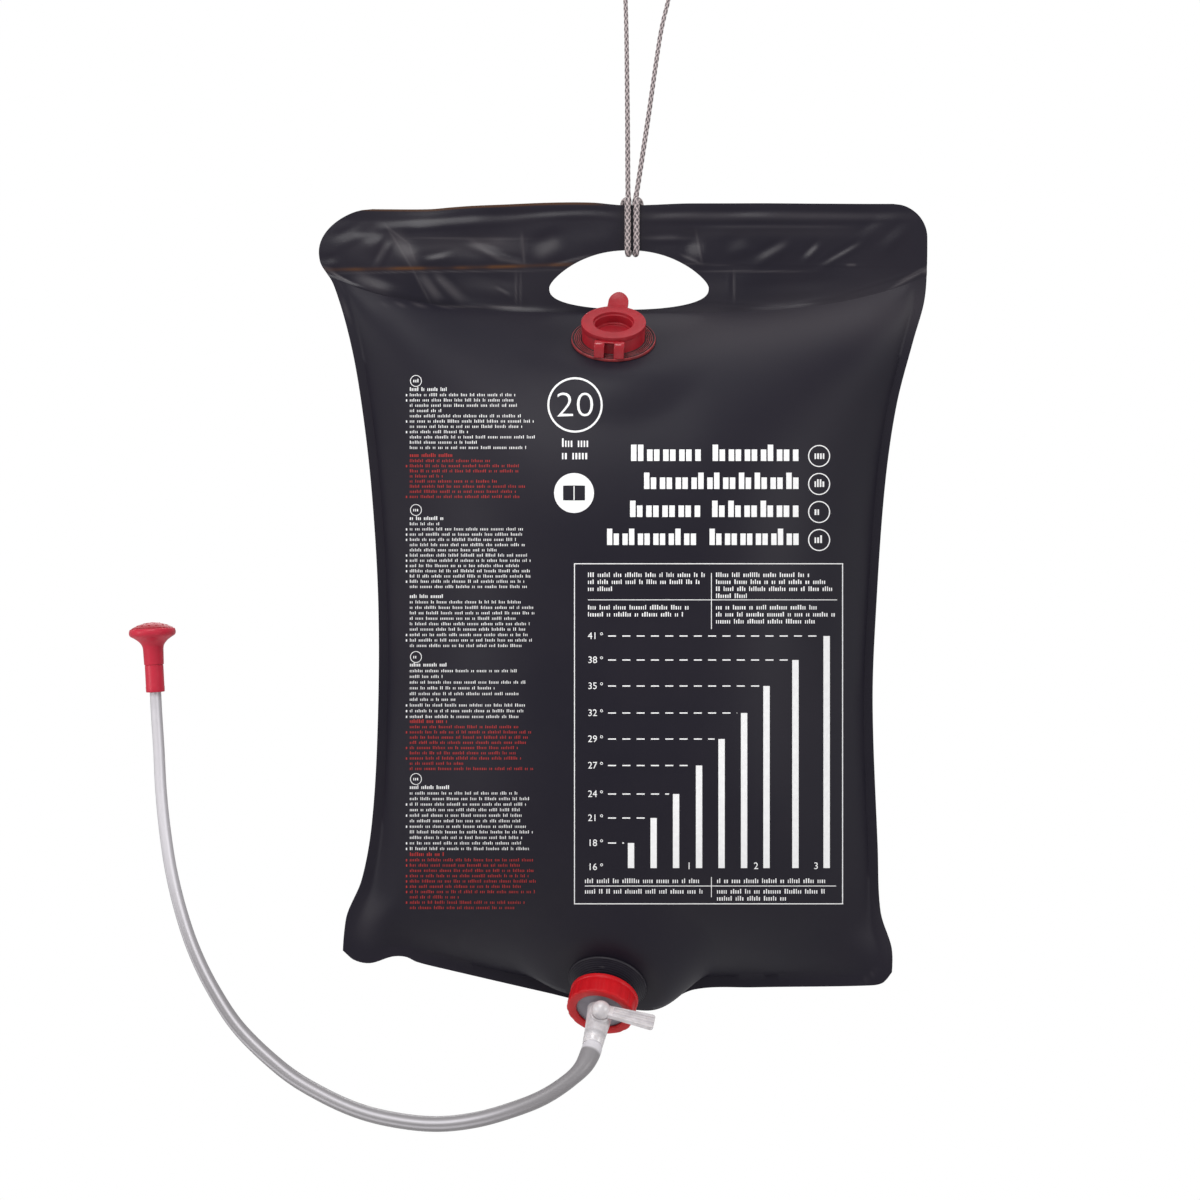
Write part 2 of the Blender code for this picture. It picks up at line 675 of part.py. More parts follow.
def make_tap(seat, parts, cutters, white):
    """The tap: a disc held by the nut, a barrel, a crosswise key and the hose nipple."""
    face = tap_face()
    front = face + TAP_DISC_THICKNESS
    end = front + BARREL_LENGTH
    tip = end + NIPPLE_LENGTH
    disc = OUTLET_NECK_RADIUS + RUNNING_GAP
    nipple = HOSE_BORE_RADIUS * HOSE_FLARE - RUNNING_GAP
    barb = NIPPLE_LENGTH / 3
    body = [(nipple - 0.0009, tip)]
    for i in (2, 1):
        body += [(nipple, end + barb * i), (nipple - 0.0004, end + barb * i - 0.0002)]
    body += [(nipple - 0.0004, end), (BARREL_END_RADIUS - 0.0006, end), (BARREL_END_RADIUS, end - 0.0006),
             (BARREL_RADIUS, front + 0.55 * BARREL_LENGTH), (BARREL_RADIUS, front), (disc, front),
             (disc, face), (BARREL_BORE_RADIUS, face), (BARREL_BORE_RADIUS, tip)]
    barrel = baked(turned("tap_body", body, 28, seat, parts))
    barrel.data.materials.append(white)
    key = key_frame(seat)
    boss = cylinder("join_boss", KEY_BOSS_RADIUS, -KEY_BOSS_HEIGHT, KEY_BOSS_HEIGHT, key, cutters, 28)
    combine(barrel, boss, "UNION")
    hole = cylinder("cut_key", KEY_PLUG_RADIUS + GAP, -0.02, 0.02, key, cutters, 24)
    combine(barrel, hole, "DIFFERENCE")
    make_key(key, parts, cutters, white)


def make_key(key, parts, cutters, white):
    """The key: a plug with its waterway, a snap lip below, a ball head and a lever."""
    seat = KEY_BOSS_HEIGHT + GAP
    below = BALL_HEIGHT - seat
    start = math.asin(-below / BALL_RADIUS)
    profile = [(0, BALL_HEIGHT + BALL_RADIUS)]
    for i in range(1, 8):
        turn = math.pi / 2 + (start - math.pi / 2) * i / 7
        profile.append((BALL_RADIUS * math.cos(turn), BALL_HEIGHT + BALL_RADIUS * math.sin(turn)))
    profile += [(KEY_PLUG_RADIUS, seat), (KEY_PLUG_RADIUS, -seat), (KEY_PLUG_RADIUS + 0.0008, -seat),
                (KEY_PLUG_RADIUS, -seat - 0.0012), (0, -seat - 0.0012)]
    made = baked(turned("tap_key", profile, 28, key, parts))
    made.data.materials.append(white)
    along_lever = key @ Matrix.Rotation(math.radians(90), 4, "Y")
    waterway = cylinder("cut_waterway", BARREL_BORE_RADIUS, -0.02, 0.02, along_lever, cutters, 16)
    outline = []
    tip = LEVER_TIP_WIDTH / 2
    for i in range(9):
        turn = -math.pi / 2 + math.pi * i / 8
        outline.append((LEVER_LENGTH - tip + tip * math.cos(turn), tip * math.sin(turn)))
    outline += [(BALL_RADIUS * 0.3, LEVER_ROOT_WIDTH / 2), (BALL_RADIUS * 0.3, -LEVER_ROOT_WIDTH / 2)]
    low = BALL_HEIGHT - LEVER_THICKNESS / 2
    lever = prism("join_lever", outline, low, low + LEVER_THICKNESS, key, cutters)
    groove = cylinder("cut_groove", LEVER_ROOT_WIDTH / 4, BALL_RADIUS + 0.002, LEVER_LENGTH - tip,
                      along_lever @ Matrix.Translation((-low, 0, 0)), cutters, 12)
    combine(made, lever, "UNION")
    combine(made, groove, "DIFFERENCE")
    combine(made, waterway, "DIFFERENCE")


# Hose and rose


def hose_route():
    """The hose's own points, from the tap to inside the rose's sleeve."""
    tap, rose = outlet_frame(), rose_frame()
    end = tap_face() + TAP_DISC_THICKNESS + BARREL_LENGTH + GAP
    straight = (0.0, 0.5 * NIPPLE_LENGTH, NIPPLE_LENGTH)
    points = [tap @ Vector((0, 0, end + out)) for out in straight]
    points += [
        Vector((-0.0440, -0.0856, -0.7519)), Vector((-0.0535, -0.0927, -0.7594)),
        Vector((-0.0676, -0.0979, -0.7676)), Vector((-0.0842, -0.0995, -0.7744)),
        Vector((-0.1103, -0.0950, -0.7832)), Vector((-0.1370, -0.0860, -0.7886)),
        Vector((-0.1641, -0.0730, -0.7897)), Vector((-0.1920, -0.0580, -0.7871)),
        Vector((-0.2205, -0.0410, -0.7794)), Vector((-0.2482, -0.0235, -0.7674)),
        Vector((-0.2805, -0.0020, -0.7448)), Vector((-0.3028, 0.0180, -0.7209)),
        Vector((-0.3203, 0.0380, -0.6963)), Vector((-0.3334, 0.0560, -0.6707)),
        Vector((-0.3435, 0.0720, -0.6441)), Vector((-0.3508, 0.0860, -0.6166)),
        Vector((-0.3560, 0.0970, -0.5884)), Vector((-0.3593, 0.1055, -0.5595)),
    ]
    points += [rose @ Vector((0, 0, level)) for level in (-0.017, -0.004, 0.004, SOCKET_DEPTH - GAP)]
    return points


def make_hose(parts, cutters, clear):
    """The clear hose, stretched over the tap's nipple."""
    route = thinned(smooth_route(hose_route(), 0.0040), 0.0100, 0.0055)
    flare = []
    run = 0.0
    for i, place in enumerate(route):
        run += (place - route[max(i - 1, 0)]).length
        flare.append(1 + (HOSE_FLARE - 1) * (1 - smoothstep(NIPPLE_LENGTH, HOSE_FLARE_LENGTH, run)))
    outer = baked(tube("hose", route, HOSE_RADIUS, 2, parts, radii=flare))
    outer.data.materials.append(clear)
    first = route[0] + (route[0] - route[1]).normalized() * 0.004
    last = route[-1] + (route[-1] - route[-2]).normalized() * 0.004
    longer = [first] + route + [last]
    bore = tube("cut_bore", longer, HOSE_BORE_RADIUS, 2, cutters, radii=[flare[0]] + flare + [flare[-1]])
    combine(outer, baked(bore), "DIFFERENCE")


def make_rose(parts, cutters, red, rubber):
    """The sleeve on the hose, and the rose that screws onto it with its washer and plate."""
    frame = rose_frame()
    socket = HOSE_RADIUS + GAP
    sleeve = socket + SLEEVE_WALL
    nipple = HOSE_BORE_RADIUS - GAP
    bore = nipple - 0.0012
    top = SLEEVE_LENGTH + SPIGOT_LENGTH
    connector = [
        (SPIGOT_RADIUS - 0.0004, top), (SPIGOT_RADIUS, top - 0.0004), (SPIGOT_RADIUS, SLEEVE_LENGTH),
        (sleeve - 0.0004, SLEEVE_LENGTH), (sleeve, SLEEVE_LENGTH - 0.0004), (sleeve, 0.0004),
        (sleeve - 0.0004, 0), (socket, 0), (socket, SOCKET_DEPTH), (nipple, SOCKET_DEPTH), (nipple, 0.0015),
        (bore, 0.0015), (bore, top),
    ]
    turned("rose_connector", connector, 24, frame, parts, red)

    low = top + GAP
    high = low + WASHER_THICKNESS
    washer = [(SPIGOT_RADIUS - 0.0002, high), (SPIGOT_RADIUS - 0.0002, low), (bore, low), (bore, high)]
    turned("rose_washer", washer, 24, frame, parts, rubber)

    start = SLEEVE_LENGTH + GAP
    thread = SPIGOT_RADIUS + RUNNING_GAP
    neck = thread + ROSE_NECK_WALL
    shoulder = high + GAP
    seat = ROSE_RIM_HEIGHT - PLATE_THICKNESS
    plate = ROSE_RIM_RADIUS - ROSE_WALL
    head = [(ROSE_RIM_RADIUS - 0.0005, ROSE_RIM_HEIGHT), (ROSE_RIM_RADIUS, ROSE_RIM_HEIGHT - 0.0006),
            (ROSE_RIM_RADIUS, ROSE_RIM_HEIGHT - 0.0020)]
    head += flare_curve(neck + 0.0008, ROSE_FLARE_HEIGHT, ROSE_RIM_RADIUS, ROSE_RIM_HEIGHT - 0.0020, 6)
    head += [(neck, start + 0.0004), (neck - 0.0004, start), (thread, start), (thread, shoulder),
             (bore, shoulder), (bore, shoulder + 0.0012)]
    inside = flare_curve(neck - 0.0010, ROSE_FLARE_HEIGHT + 0.0010, plate - 0.0010, seat - 0.0006, 4)
    head += [(neck - 0.0010, ROSE_FLARE_HEIGHT)] + inside[::-1]
    head += [(plate - 0.0010, seat), (plate, seat), (plate, ROSE_RIM_HEIGHT)]
    turned("rose_head", head, 24, frame, parts, red)
    make_plate(frame, plate - GAP, seat + GAP, parts, cutters, red)


def flare_curve(small, low, large, high, steps):
    """Points down a trumpet-shaped flare, without its upper end."""
    points = []
    for i in range(1, steps + 1):
        share = 1 - i / steps
        radius = small + (large - small) * (0.35 * share + 0.65 * share**2.2)
        points.append((radius, low + (high - low) * share))
    return points


def make_plate(frame, radius, low, parts, cutters, red):
    """The domed spray plate with a nozzle at each hole."""
    high = low + PLATE_THICKNESS
    profile = []
    for i in range(6):
        share = i / 5
        profile.append((radius * share, high + PLATE_DOME * (1 - share**2)))
    for i in range(4):
        share = 1 - i / 3
        profile.append((radius * share, low + PLATE_DOME * (1 - share**2)))
    plate = baked(turned("rose_plate", profile, 24, frame, parts))
    plate.data.materials.append(red)
    nozzles, bores = bmesh.new(), bmesh.new()
    for ring, count in NOZZLE_RINGS:
        for i in range(count):
            turn = 2 * math.pi * i / count
            dome = PLATE_DOME * (1 - (ring / radius) ** 2)
            place = Vector((ring * math.cos(turn), ring * math.sin(turn), 0))
            tip = high + dome + NOZZLE_HEIGHT
            foot = high + dome - PLATE_THICKNESS / 2
            add_post(nozzles, place, NOZZLE_RADIUS, NOZZLE_RADIUS * 0.75, foot, tip, 6)
            add_post(bores, place, NOZZLE_BORE, NOZZLE_BORE, low - 0.001, tip + 0.001, 4)
    for name, bm, step in (("join_nozzles", nozzles, "UNION"), ("cut_nozzles", bores, "DIFFERENCE")):
        tool = from_bmesh(name, bm, cutters)
        tool.matrix_world = frame
        combine(plate, tool, step)


def add_post(bm, place, foot_radius, tip_radius, low, high, sides):
    """Adds a tapered post to a bmesh."""
    middle = Matrix.Translation(place + Vector((0, 0, (low + high) / 2)))
    bmesh.ops.create_cone(bm, cap_ends=True, segments=sides, radius1=foot_radius, radius2=tip_radius,
                          depth=high - low, matrix=middle)


# Hanging cord


def cord_route():
    """The sling's own points: knot, right strand, lark's head on the band, left strand, loop."""
    loop_z = CORD_RADIUS - LOOP_RADIUS
    knot_z = loop_z - GAP - KNOT_HALF_HEIGHT
    foot = knot_z - KNOT_HALF_HEIGHT - GAP
    strand = [(LOOP_RADIUS, 0, foot), (0.0144, 0.0003, -0.0340), (0.0086, 0.0012, -0.0600),
              (0.0004, 0.0027, -0.1160), (-0.0065, 0.0039, -0.1610)]
    hitch = [(-0.0083, 0.0044, -0.1720), (-0.00875, 0.0042, -0.1780), (-0.00875, 0.0030, -0.1880),
             (-0.00875, 0.00275, -0.2000), (-0.0087, 0.00275, -0.2068), (-0.0085, 0.00195, -0.2090),
             (-0.0082, 0.0, -0.20985), (-0.0079, -0.00195, -0.2090), (-0.0077, -0.00275, -0.2068),
             (-0.0077, -0.00275, -0.2000), (-0.0077, -0.00275, -0.1880), (-0.0076, -0.00275, -0.1758),
             (-0.0073, -0.00195, -0.1732), (-0.0069, 0.0, -0.1724), (-0.0053, 0.0022, -0.1731),
             (-0.0046, 0.0046, -0.1762), (-0.0054, 0.0079, -0.1802), (-0.0082, 0.0087, -0.1827)]
    middle = [(HITCH_X, 0.0089, -0.1832)]
    other = [(2 * HITCH_X - x, y, z) for x, y, z in reversed(hitch)]
    rise = [(-0.0135, 0.0038, -0.1610), (-0.0138, 0.0027, -0.1160), (-0.0145, 0.0012, -0.0600),
            (-0.0153, 0.0003, -0.0300)]
    loop = []
    for i in range(7):
        turn = math.pi * (1 - i / 6)
        loop.append((LOOP_RADIUS * math.cos(turn), 0, loop_z + LOOP_RADIUS * math.sin(turn)))
    return strand + hitch + middle + other + rise + loop


def thinned(route, straight, bent):
    """Drops points so that straight stretches keep fewer of them than bends."""
    kept = [route[0]]
    for before, place, after in zip(route, route[1:], route[2:]):
        turn = (place - before).angle(after - place, 0.0)
        if (place - kept[-1]).length >= (bent if turn > 0.06 else straight):
            kept.append(place)
    return kept + [route[-1]]


def make_cord(parts, braid):
    """The tied cord sling and its knot, out of sight above the bag."""
    route = thinned(smooth_route(cord_route(), 0.0030), 0.0110, 0.0018)
    tube("hanging_cord", route, CORD_RADIUS, 2, parts, braid)
    loop_z = CORD_RADIUS - LOOP_RADIUS
    centre = Vector((LOOP_RADIUS, 0, loop_z - GAP - KNOT_HALF_HEIGHT))
    profile = [(0, KNOT_HALF_HEIGHT), (CORD_RADIUS, KNOT_HALF_HEIGHT)]
    wraps = 3
    for wrap in range(wraps):
        top = KNOT_HALF_HEIGHT * (1 - 2 * wrap / wraps) - 0.0002
        size = 2 * KNOT_HALF_HEIGHT / wraps
        bulge = KNOT_RADIUS * (1.0 if wrap == 1 else 0.9)
        for share in (0.0, 0.33, 0.67):
            height = top - size * share
            profile.append((bulge - size * 0.45 * (1 - math.sin(math.pi * share)), height))
    profile += [(CORD_RADIUS, -KNOT_HALF_HEIGHT), (0, -KNOT_HALF_HEIGHT)]
    turned("cord_knot", profile, 12, Matrix.Translation(centre), parts, braid)


def new_collection(name):
    """A collection linked to the scene."""
    made = bpy.data.collections.new(name)
    bpy.context.scene.collection.children.link(made)
    return made


def main():
    for old in list(bpy.data.objects):
        bpy.data.objects.remove(old)
    parts = new_collection("solar_shower")
    cutters = new_collection("cutters")
    film = material("black_film", (0.020, 0.019, 0.026), 0.28)
    black = material("black_moulding", (0.022, 0.021, 0.023), 0.40)
    red = material("red_moulding", (0.55, 0.018, 0.030), 0.36)
    white = material("natural_moulding", (0.78, 0.79, 0.78), 0.30)
    rubber = material("grey_rubber", (0.10, 0.10, 0.10), 0.75)
    clear = material("clear_hose", (0.70, 0.72, 0.72), 0.12)
    braid = material("white_braid", (0.72, 0.72, 0.70), 0.80)
    make_panels(parts, cutters, film)
    make_filler(parts, cutters, red)
    make_outlet(parts, cutters, black, rubber, red, white)
    make_hose(parts, cutters, clear)
    make_rose(parts, cutters, red, rubber)
    make_cord(parts, braid)


main()
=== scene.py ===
"""Visual model of a hanging solar shower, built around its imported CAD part.

A black film bag hangs full from a braided sling. Every object is in metres, in
the part's own frame: the origin is the inner top of the sling's loop, +Z is up
and the printed front faces -Y.
"""

import logging
import math
import random
from collections.abc import Callable
from dataclasses import dataclass, field
from enum import Enum
from functools import partial

import bpy
import numpy as np
from mathutils import Matrix, Vector, noise
from mathutils.bvhtree import BVHTree


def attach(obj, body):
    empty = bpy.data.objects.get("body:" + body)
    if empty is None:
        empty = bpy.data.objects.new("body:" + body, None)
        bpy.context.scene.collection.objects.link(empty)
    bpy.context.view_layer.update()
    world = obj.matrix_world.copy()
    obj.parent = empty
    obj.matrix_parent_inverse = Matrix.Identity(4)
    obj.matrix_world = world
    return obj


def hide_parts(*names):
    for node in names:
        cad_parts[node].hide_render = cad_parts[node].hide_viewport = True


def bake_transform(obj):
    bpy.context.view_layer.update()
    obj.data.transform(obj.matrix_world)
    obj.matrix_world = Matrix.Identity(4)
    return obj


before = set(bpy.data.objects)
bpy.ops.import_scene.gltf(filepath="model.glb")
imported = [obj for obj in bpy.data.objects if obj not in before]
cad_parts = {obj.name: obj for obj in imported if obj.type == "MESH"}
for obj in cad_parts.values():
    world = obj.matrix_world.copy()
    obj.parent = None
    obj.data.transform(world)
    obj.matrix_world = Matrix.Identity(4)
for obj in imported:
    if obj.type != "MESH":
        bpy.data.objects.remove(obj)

logging.basicConfig(level=logging.INFO, format="%(message)s")
LOG = logging.getLogger("solar_shower")

Pair = tuple[float, float]
Colour = tuple[float, float, float]
Face = tuple[int, ...]
Piece = bpy.types.Object
Array = np.ndarray

# The front view: metres a pixel in the bag's plane, and the pixel that shows X 0 and Z 0.
PIXEL = 0.00069
PIXEL_X = 647.5
PIXEL_Z = -50.0
EYE = Vector((-0.0328, -1.450, -0.4485))
VIEW_WIDTH = 0.828
# Sizes that several pieces share, in metres.
GAP = 0.0003
RUNNING_GAP = 0.0004
FILM = 0.0005
FILLER_FLANGE = 0.0285
OUTLET_FLANGE = 0.0268
FILLER_HOLE = 0.0170
OUTLET_HOLE = 0.0150
HOSE_RADIUS = 0.0050
HOSE_BORE = 0.0035
HITCH_X = -0.0107
TO_FRONT = Vector((0, -1, 0))
TO_RIGHT = Vector((1, 0, 0))


def plane_point(px: float, py: float) -> Pair:
    """X and Z in the bag's middle plane that a place in the front view shows."""
    return (px - PIXEL_X) * PIXEL, -(py - PIXEL_Z) * PIXEL


def smoothstep(low: float, high: float, value: Array) -> Array:
    """0 below low, 1 above high, and a smooth rise between."""
    share = np.clip((value - low) / (high - low), 0.0, 1.0)
    return share * share * (3.0 - 2.0 * share)


def along(points: list[Pair], where: Array) -> Array:
    """Smooth values through (place, value) pairs.

    Args:
        points: The pairs, in rising order of place.
        where: The places to read.

    Returns:
        The values there, held level past both ends.
    """
    places, values = np.array(points, float).T
    index = np.arange(len(places))
    low, high = np.maximum(index - 1, 0), np.minimum(index + 1, len(places) - 1)
    slopes = (values[high] - values[low]) / (places[high] - places[low])
    where = np.clip(where, places[0], places[-1])
    i = np.clip(np.searchsorted(places, where) - 1, 0, len(places) - 2)
    span = places[i + 1] - places[i]
    t = (where - places[i]) / span
    rise = 3 * t**2 - 2 * t**3
    start = t - 2 * t**2 + t**3
    end = t**3 - t**2
    return (1 - rise) * values[i] + rise * values[i + 1] + span * (start * slopes[i] + end * slopes[i + 1])


def smooth_route(points: list[Vector], step: float) -> list[Vector]:
    """A smooth curve through a cord's own points.

    Args:
        points: The points it passes through.
        step: About how far apart the new points are.

    Returns:
        The curve's points.
    """
    knots = [np.array(p, float) for p in points]
    ends = [2 * knots[0] - knots[1]] + knots + [2 * knots[-1] - knots[-2]]
    route = [knots[0]]
    for a, b, c, d in zip(ends, ends[1:], ends[2:], ends[3:]):
        pieces = max(1, round(float(np.linalg.norm(c - b)) / step))
        for n in range(1, pieces + 1):
            t = n / pieces
            route.append(0.5 * (2 * b + (c - a) * t + (2 * a - 5 * b + 4 * c - d) * t**2
                                + (3 * b - a - 3 * c + d) * t**3))
    return [Vector(p) for p in route]


def arc(centre: Pair, radii: Pair, first: float, last: float, steps: int) -> list[Pair]:
    """Points along part of an ellipse.

    Args:
        centre: Its centre.
        radii: Its half width and half height.
        first: The angle of the first point.
        last: The angle of the last point.
        steps: How many steps there are between them.

    Returns:
        The points, one more than there are steps.
    """
    turns = [first + (last - first) * i / steps for i in range(steps + 1)]
    return [(centre[0] + radii[0] * math.cos(t), centre[1] + radii[1] * math.sin(t)) for t in turns]


def frame_on(origin: Vector, axis: Vector, side: Vector) -> Matrix:
    """A frame with Z along an axis.

    Args:
        origin: Where the frame stands.
        axis: Its Z direction.
        side: What its X points to as nearly as it can.

    Returns:
        The frame as a matrix.
    """
    z = axis.normalized()
    x = (side - side.dot(z) * z).normalized()
    turn = Matrix((x, z.cross(x), z)).transposed().to_4x4()
    return Matrix.Translation(origin) @ turn


# Finishes


class Slot(Enum):
    """The record's material slots."""

    FILM = "black_film"
    BLACK = "black_moulding"
    RED = "red_moulding"
    NATURAL = "natural_moulding"
    CLEAR = "clear_hose"
    BRAID = "white_braid"


class NodeSheet:
    """A node tree that nodes are laid out and joined in."""

    def __init__(self, tree: bpy.types.NodeTree) -> None:
        """Keeps the tree."""
        self.tree = tree

    def add(self, kind: str, **inputs: object) -> bpy.types.Node:
        """Adds a node.

        Args:
            kind: The node's Blender type.
            inputs: Values, or sockets to join, by input name with _ for a space.

        Returns:
            The node.
        """
        node = self.tree.nodes.new(kind)
        node.location = (200 * (len(self.tree.nodes) % 8), -220 * (len(self.tree.nodes) // 8))
        self.feed(node, {name.replace("_", " "): value for name, value in inputs.items()})
        return node

    def put(self, socket: bpy.types.NodeSocket, value: object) -> None:
        """Sets an input, or joins a socket to it."""
        if isinstance(value, bpy.types.NodeSocket):
            self.tree.links.new(value, socket)
        else:
            socket.default_value = value

    def feed(self, node: bpy.types.Node, inputs: dict[str, object]) -> None:
        """Sets or joins several inputs of a node by their names."""
        for name, value in inputs.items():
            self.put(node.inputs[name], value)

    def math(self, operation: str, first: object, second: object = 0.0) -> bpy.types.NodeSocket:
        """The result of a Math node on two values or sockets."""
        node = self.tree.nodes.new("ShaderNodeMath")
        node.operation = operation
        self.put(node.inputs[0], first)
        self.put(node.inputs[1], second)
        return node.outputs[0]

    def mix(self, share: object, first: object, second: object) -> bpy.types.NodeSocket:
        """The result of mixing two colours."""
        node = self.tree.nodes.new("ShaderNodeMix")
        node.data_type = "RGBA"
        for index, value in ((0, share), (6, first), (7, second)):
            self.put(node.inputs[index], (*value, 1.0) if isinstance(value, tuple) else value)
        return node.outputs[2]


def group_sheet(name: str, inputs: dict[str, str], outputs: dict[str, str]) -> NodeSheet:
    """Makes an empty node group.

    Args:
        name: The group's name.
        inputs: The kind of each input, by name.
        outputs: The kind of each output, by name.

    Returns:
        The group as a sheet to lay nodes out on.
    """
    tree = bpy.data.node_groups.new(name, "ShaderNodeTree")
    for way, sockets in (("INPUT", inputs), ("OUTPUT", outputs)):
        for socket, kind in sockets.items():
            tree.interface.new_socket(name=socket, in_out=way, socket_type="NodeSocket" + kind)
    return NodeSheet(tree)


def surface_group() -> bpy.types.NodeTree:
    """Builds the group that gives every finish its patches and grain.

    Returns:
        The group: it puts out a colour, a roughness and a height.
    """
    known = bpy.data.node_groups.get("surface_variation")
    if known:
        return known
    inputs = {"Vector": "Vector", "Colour": "Color", "Patch Colour": "Color", "Patch Scale": "Float",
              "Grain Scale": "Float", "Roughness": "Float", "Roughness Spread": "Float"}
    outputs = {"Colour": "Color", "Roughness": "Float", "Height": "Float"}
    sheet = group_sheet("surface_variation", inputs, outputs)
    given = sheet.tree.nodes.new("NodeGroupInput").outputs
    patches = sheet.add("ShaderNodeTexNoise", Vector=given["Vector"], Scale=given["Patch Scale"], Detail=4.0,
                        Roughness=0.6)
    grain = sheet.add("ShaderNodeTexNoise", Vector=given["Vector"], Scale=given["Grain Scale"], Detail=3.0,
                      Roughness=0.7)
    spread = sheet.add("ShaderNodeMapRange", Value=patches.outputs["Fac"], From_Min=0.35, From_Max=0.68)
    colour = sheet.mix(spread.outputs["Result"], given["Colour"], given["Patch Colour"])
    centred = sheet.math("SUBTRACT", patches.outputs["Fac"], 0.5)
    rough = sheet.math("ADD", given["Roughness"], sheet.math("MULTIPLY", centred, given["Roughness Spread"]))
    sheet.add("NodeGroupOutput", Colour=colour, Roughness=rough, Height=grain.outputs["Fac"])
    return sheet.tree


def wear_group() -> bpy.types.NodeTree:
    """Builds the group that finds sharp edges from how sharply the surface bends, for a painted highlight
    there.

    Returns:
        The group: it puts out a mask.
    """
    known = bpy.data.node_groups.get("painted_edge_highlight")
    if known:
        return known
    sheet = group_sheet("painted_edge_highlight", {"Amount": "Float"}, {"Mask": "Float"})
    given = sheet.tree.nodes.new("NodeGroupInput").outputs
    bend = sheet.add("ShaderNodeNewGeometry")
    edge = sheet.add("ShaderNodeMapRange", Value=bend.outputs["Pointiness"], From_Min=0.51, From_Max=0.58)
    sheet.add("NodeGroupOutput", Mask=sheet.math("MULTIPLY", edge.outputs["Result"], given["Amount"]))
    return sheet.tree


@dataclass(frozen=True)
class Finish:
    """One finish of the object, and how to make its material."""

    name: str
    colour: Colour
    patch_colour: Colour
    roughness: float
    roughness_spread: float = 0.10
    patch_scale: float = 40.0
    grain_scale: float = 2600.0
    grain_depth: float = 0.00002
    # A lighter colour painted on sharp edges as a highlight, and how strongly.
    worn_colour: Colour | None = None
    worn_share: float = 0.35
    specular: float = 0.5
    subsurface: float = 0.0
    subsurface_depth: float = 0.002
    transmission: float = 0.0
    ior: float = 1.5
    masks: tuple[tuple[str, Colour], ...] = ()

    def material(self) -> bpy.types.Material:
        """Makes the material once and gives it again after that.

        Returns:
            The material.
        """
        known = bpy.data.materials.get(self.name)
        if known and known.get("dressed"):
            return known
        made = bpy.data.materials.new(self.name)
        made["dressed"] = True
        made.use_nodes = True
        sheet = NodeSheet(made.node_tree)
        shader = made.node_tree.nodes["Principled BSDF"]
        place = sheet.add("ShaderNodeTexCoord")
        surface = sheet.add("ShaderNodeGroup")
        surface.node_tree = surface_group()
        sheet.feed(surface, {
            "Vector": place.outputs["Object"], "Colour": (*self.colour, 1.0),
            "Patch Colour": (*self.patch_colour, 1.0), "Patch Scale": self.patch_scale,
            "Grain Scale": self.grain_scale, "Roughness": self.roughness,
            "Roughness Spread": self.roughness_spread})
        colour = surface.outputs["Colour"]
        # Painted highlight: the lighter colour goes onto sharp edges and ridges.
        if self.worn_colour:
            edge_highlight_node = sheet.add("ShaderNodeGroup")
            edge_highlight_node.node_tree = wear_group()
            sheet.feed(edge_highlight_node, {"Amount": self.worn_share})
            colour = sheet.mix(edge_highlight_node.outputs["Mask"], colour, self.worn_colour)
        for name, shown in self.masks:
            masked = sheet.add("ShaderNodeAttribute")
            masked.attribute_name = name
            colour = sheet.mix(masked.outputs["Fac"], colour, shown)
        bump = sheet.add("ShaderNodeBump", Height=surface.outputs["Height"], Distance=self.grain_depth,
                         Strength=1.0)
        sheet.feed(shader, {
            "Base Color": colour, "Roughness": surface.outputs["Roughness"], "Normal": bump.outputs["Normal"],
            "IOR": self.ior, "Specular IOR Level": self.specular, "Transmission Weight": self.transmission,
            "Subsurface Weight": self.subsurface, "Subsurface Scale": self.subsurface_depth,
            "Subsurface Radius": (1.0, 0.9, 0.8)})
        return made


# Both films mix in a lighter colour where the painted fold highlight is set: painted highlights on the folds
# and below the weld.
BAND_FILM = Finish("film_band", (0.0086, 0.0072, 0.0140), (0.0122, 0.0098, 0.0166), 0.32, 0.12, 9.0, 5200.0,
                   0.000010, specular=0.25, masks=(("painted_fold_highlight", (0.075, 0.067, 0.074)),
                                                   ("fold_tint", (0.085, 0.034, 0.012))))
CHAMBER_FILM = Finish("film_chamber", (0.0090, 0.0075, 0.0146), (0.0122, 0.0099, 0.0170), 0.52, 0.10, 9.0,
                      5200.0, 0.000010, specular=0.20, masks=(("painted_fold_highlight", (0.075, 0.067, 0.074)),))
WHITE_INK = Finish("ink_white", (0.90, 0.90, 0.90), (0.84, 0.83, 0.84), 0.55, 0.1, 300.0, 4000.0, 0.00001,
                   specular=0.2)
RED_INK = Finish("ink_red", (0.47, 0.034, 0.030), (0.36, 0.026, 0.026), 0.55, 0.1, 300.0, 4000.0, 0.00001,
                 specular=0.2)
# The red and black mouldings list a painted edge highlight colour and its strength after their grain depth.
STOPPER_RED = Finish("moulding_red", (0.345, 0.0110, 0.0200), (0.27, 0.0085, 0.0160), 0.40, 0.14, 60.0,
                     2400.0, 0.000022, (0.46, 0.05, 0.06), 0.25, specular=0.30, subsurface=0.10,
                     subsurface_depth=0.0012)
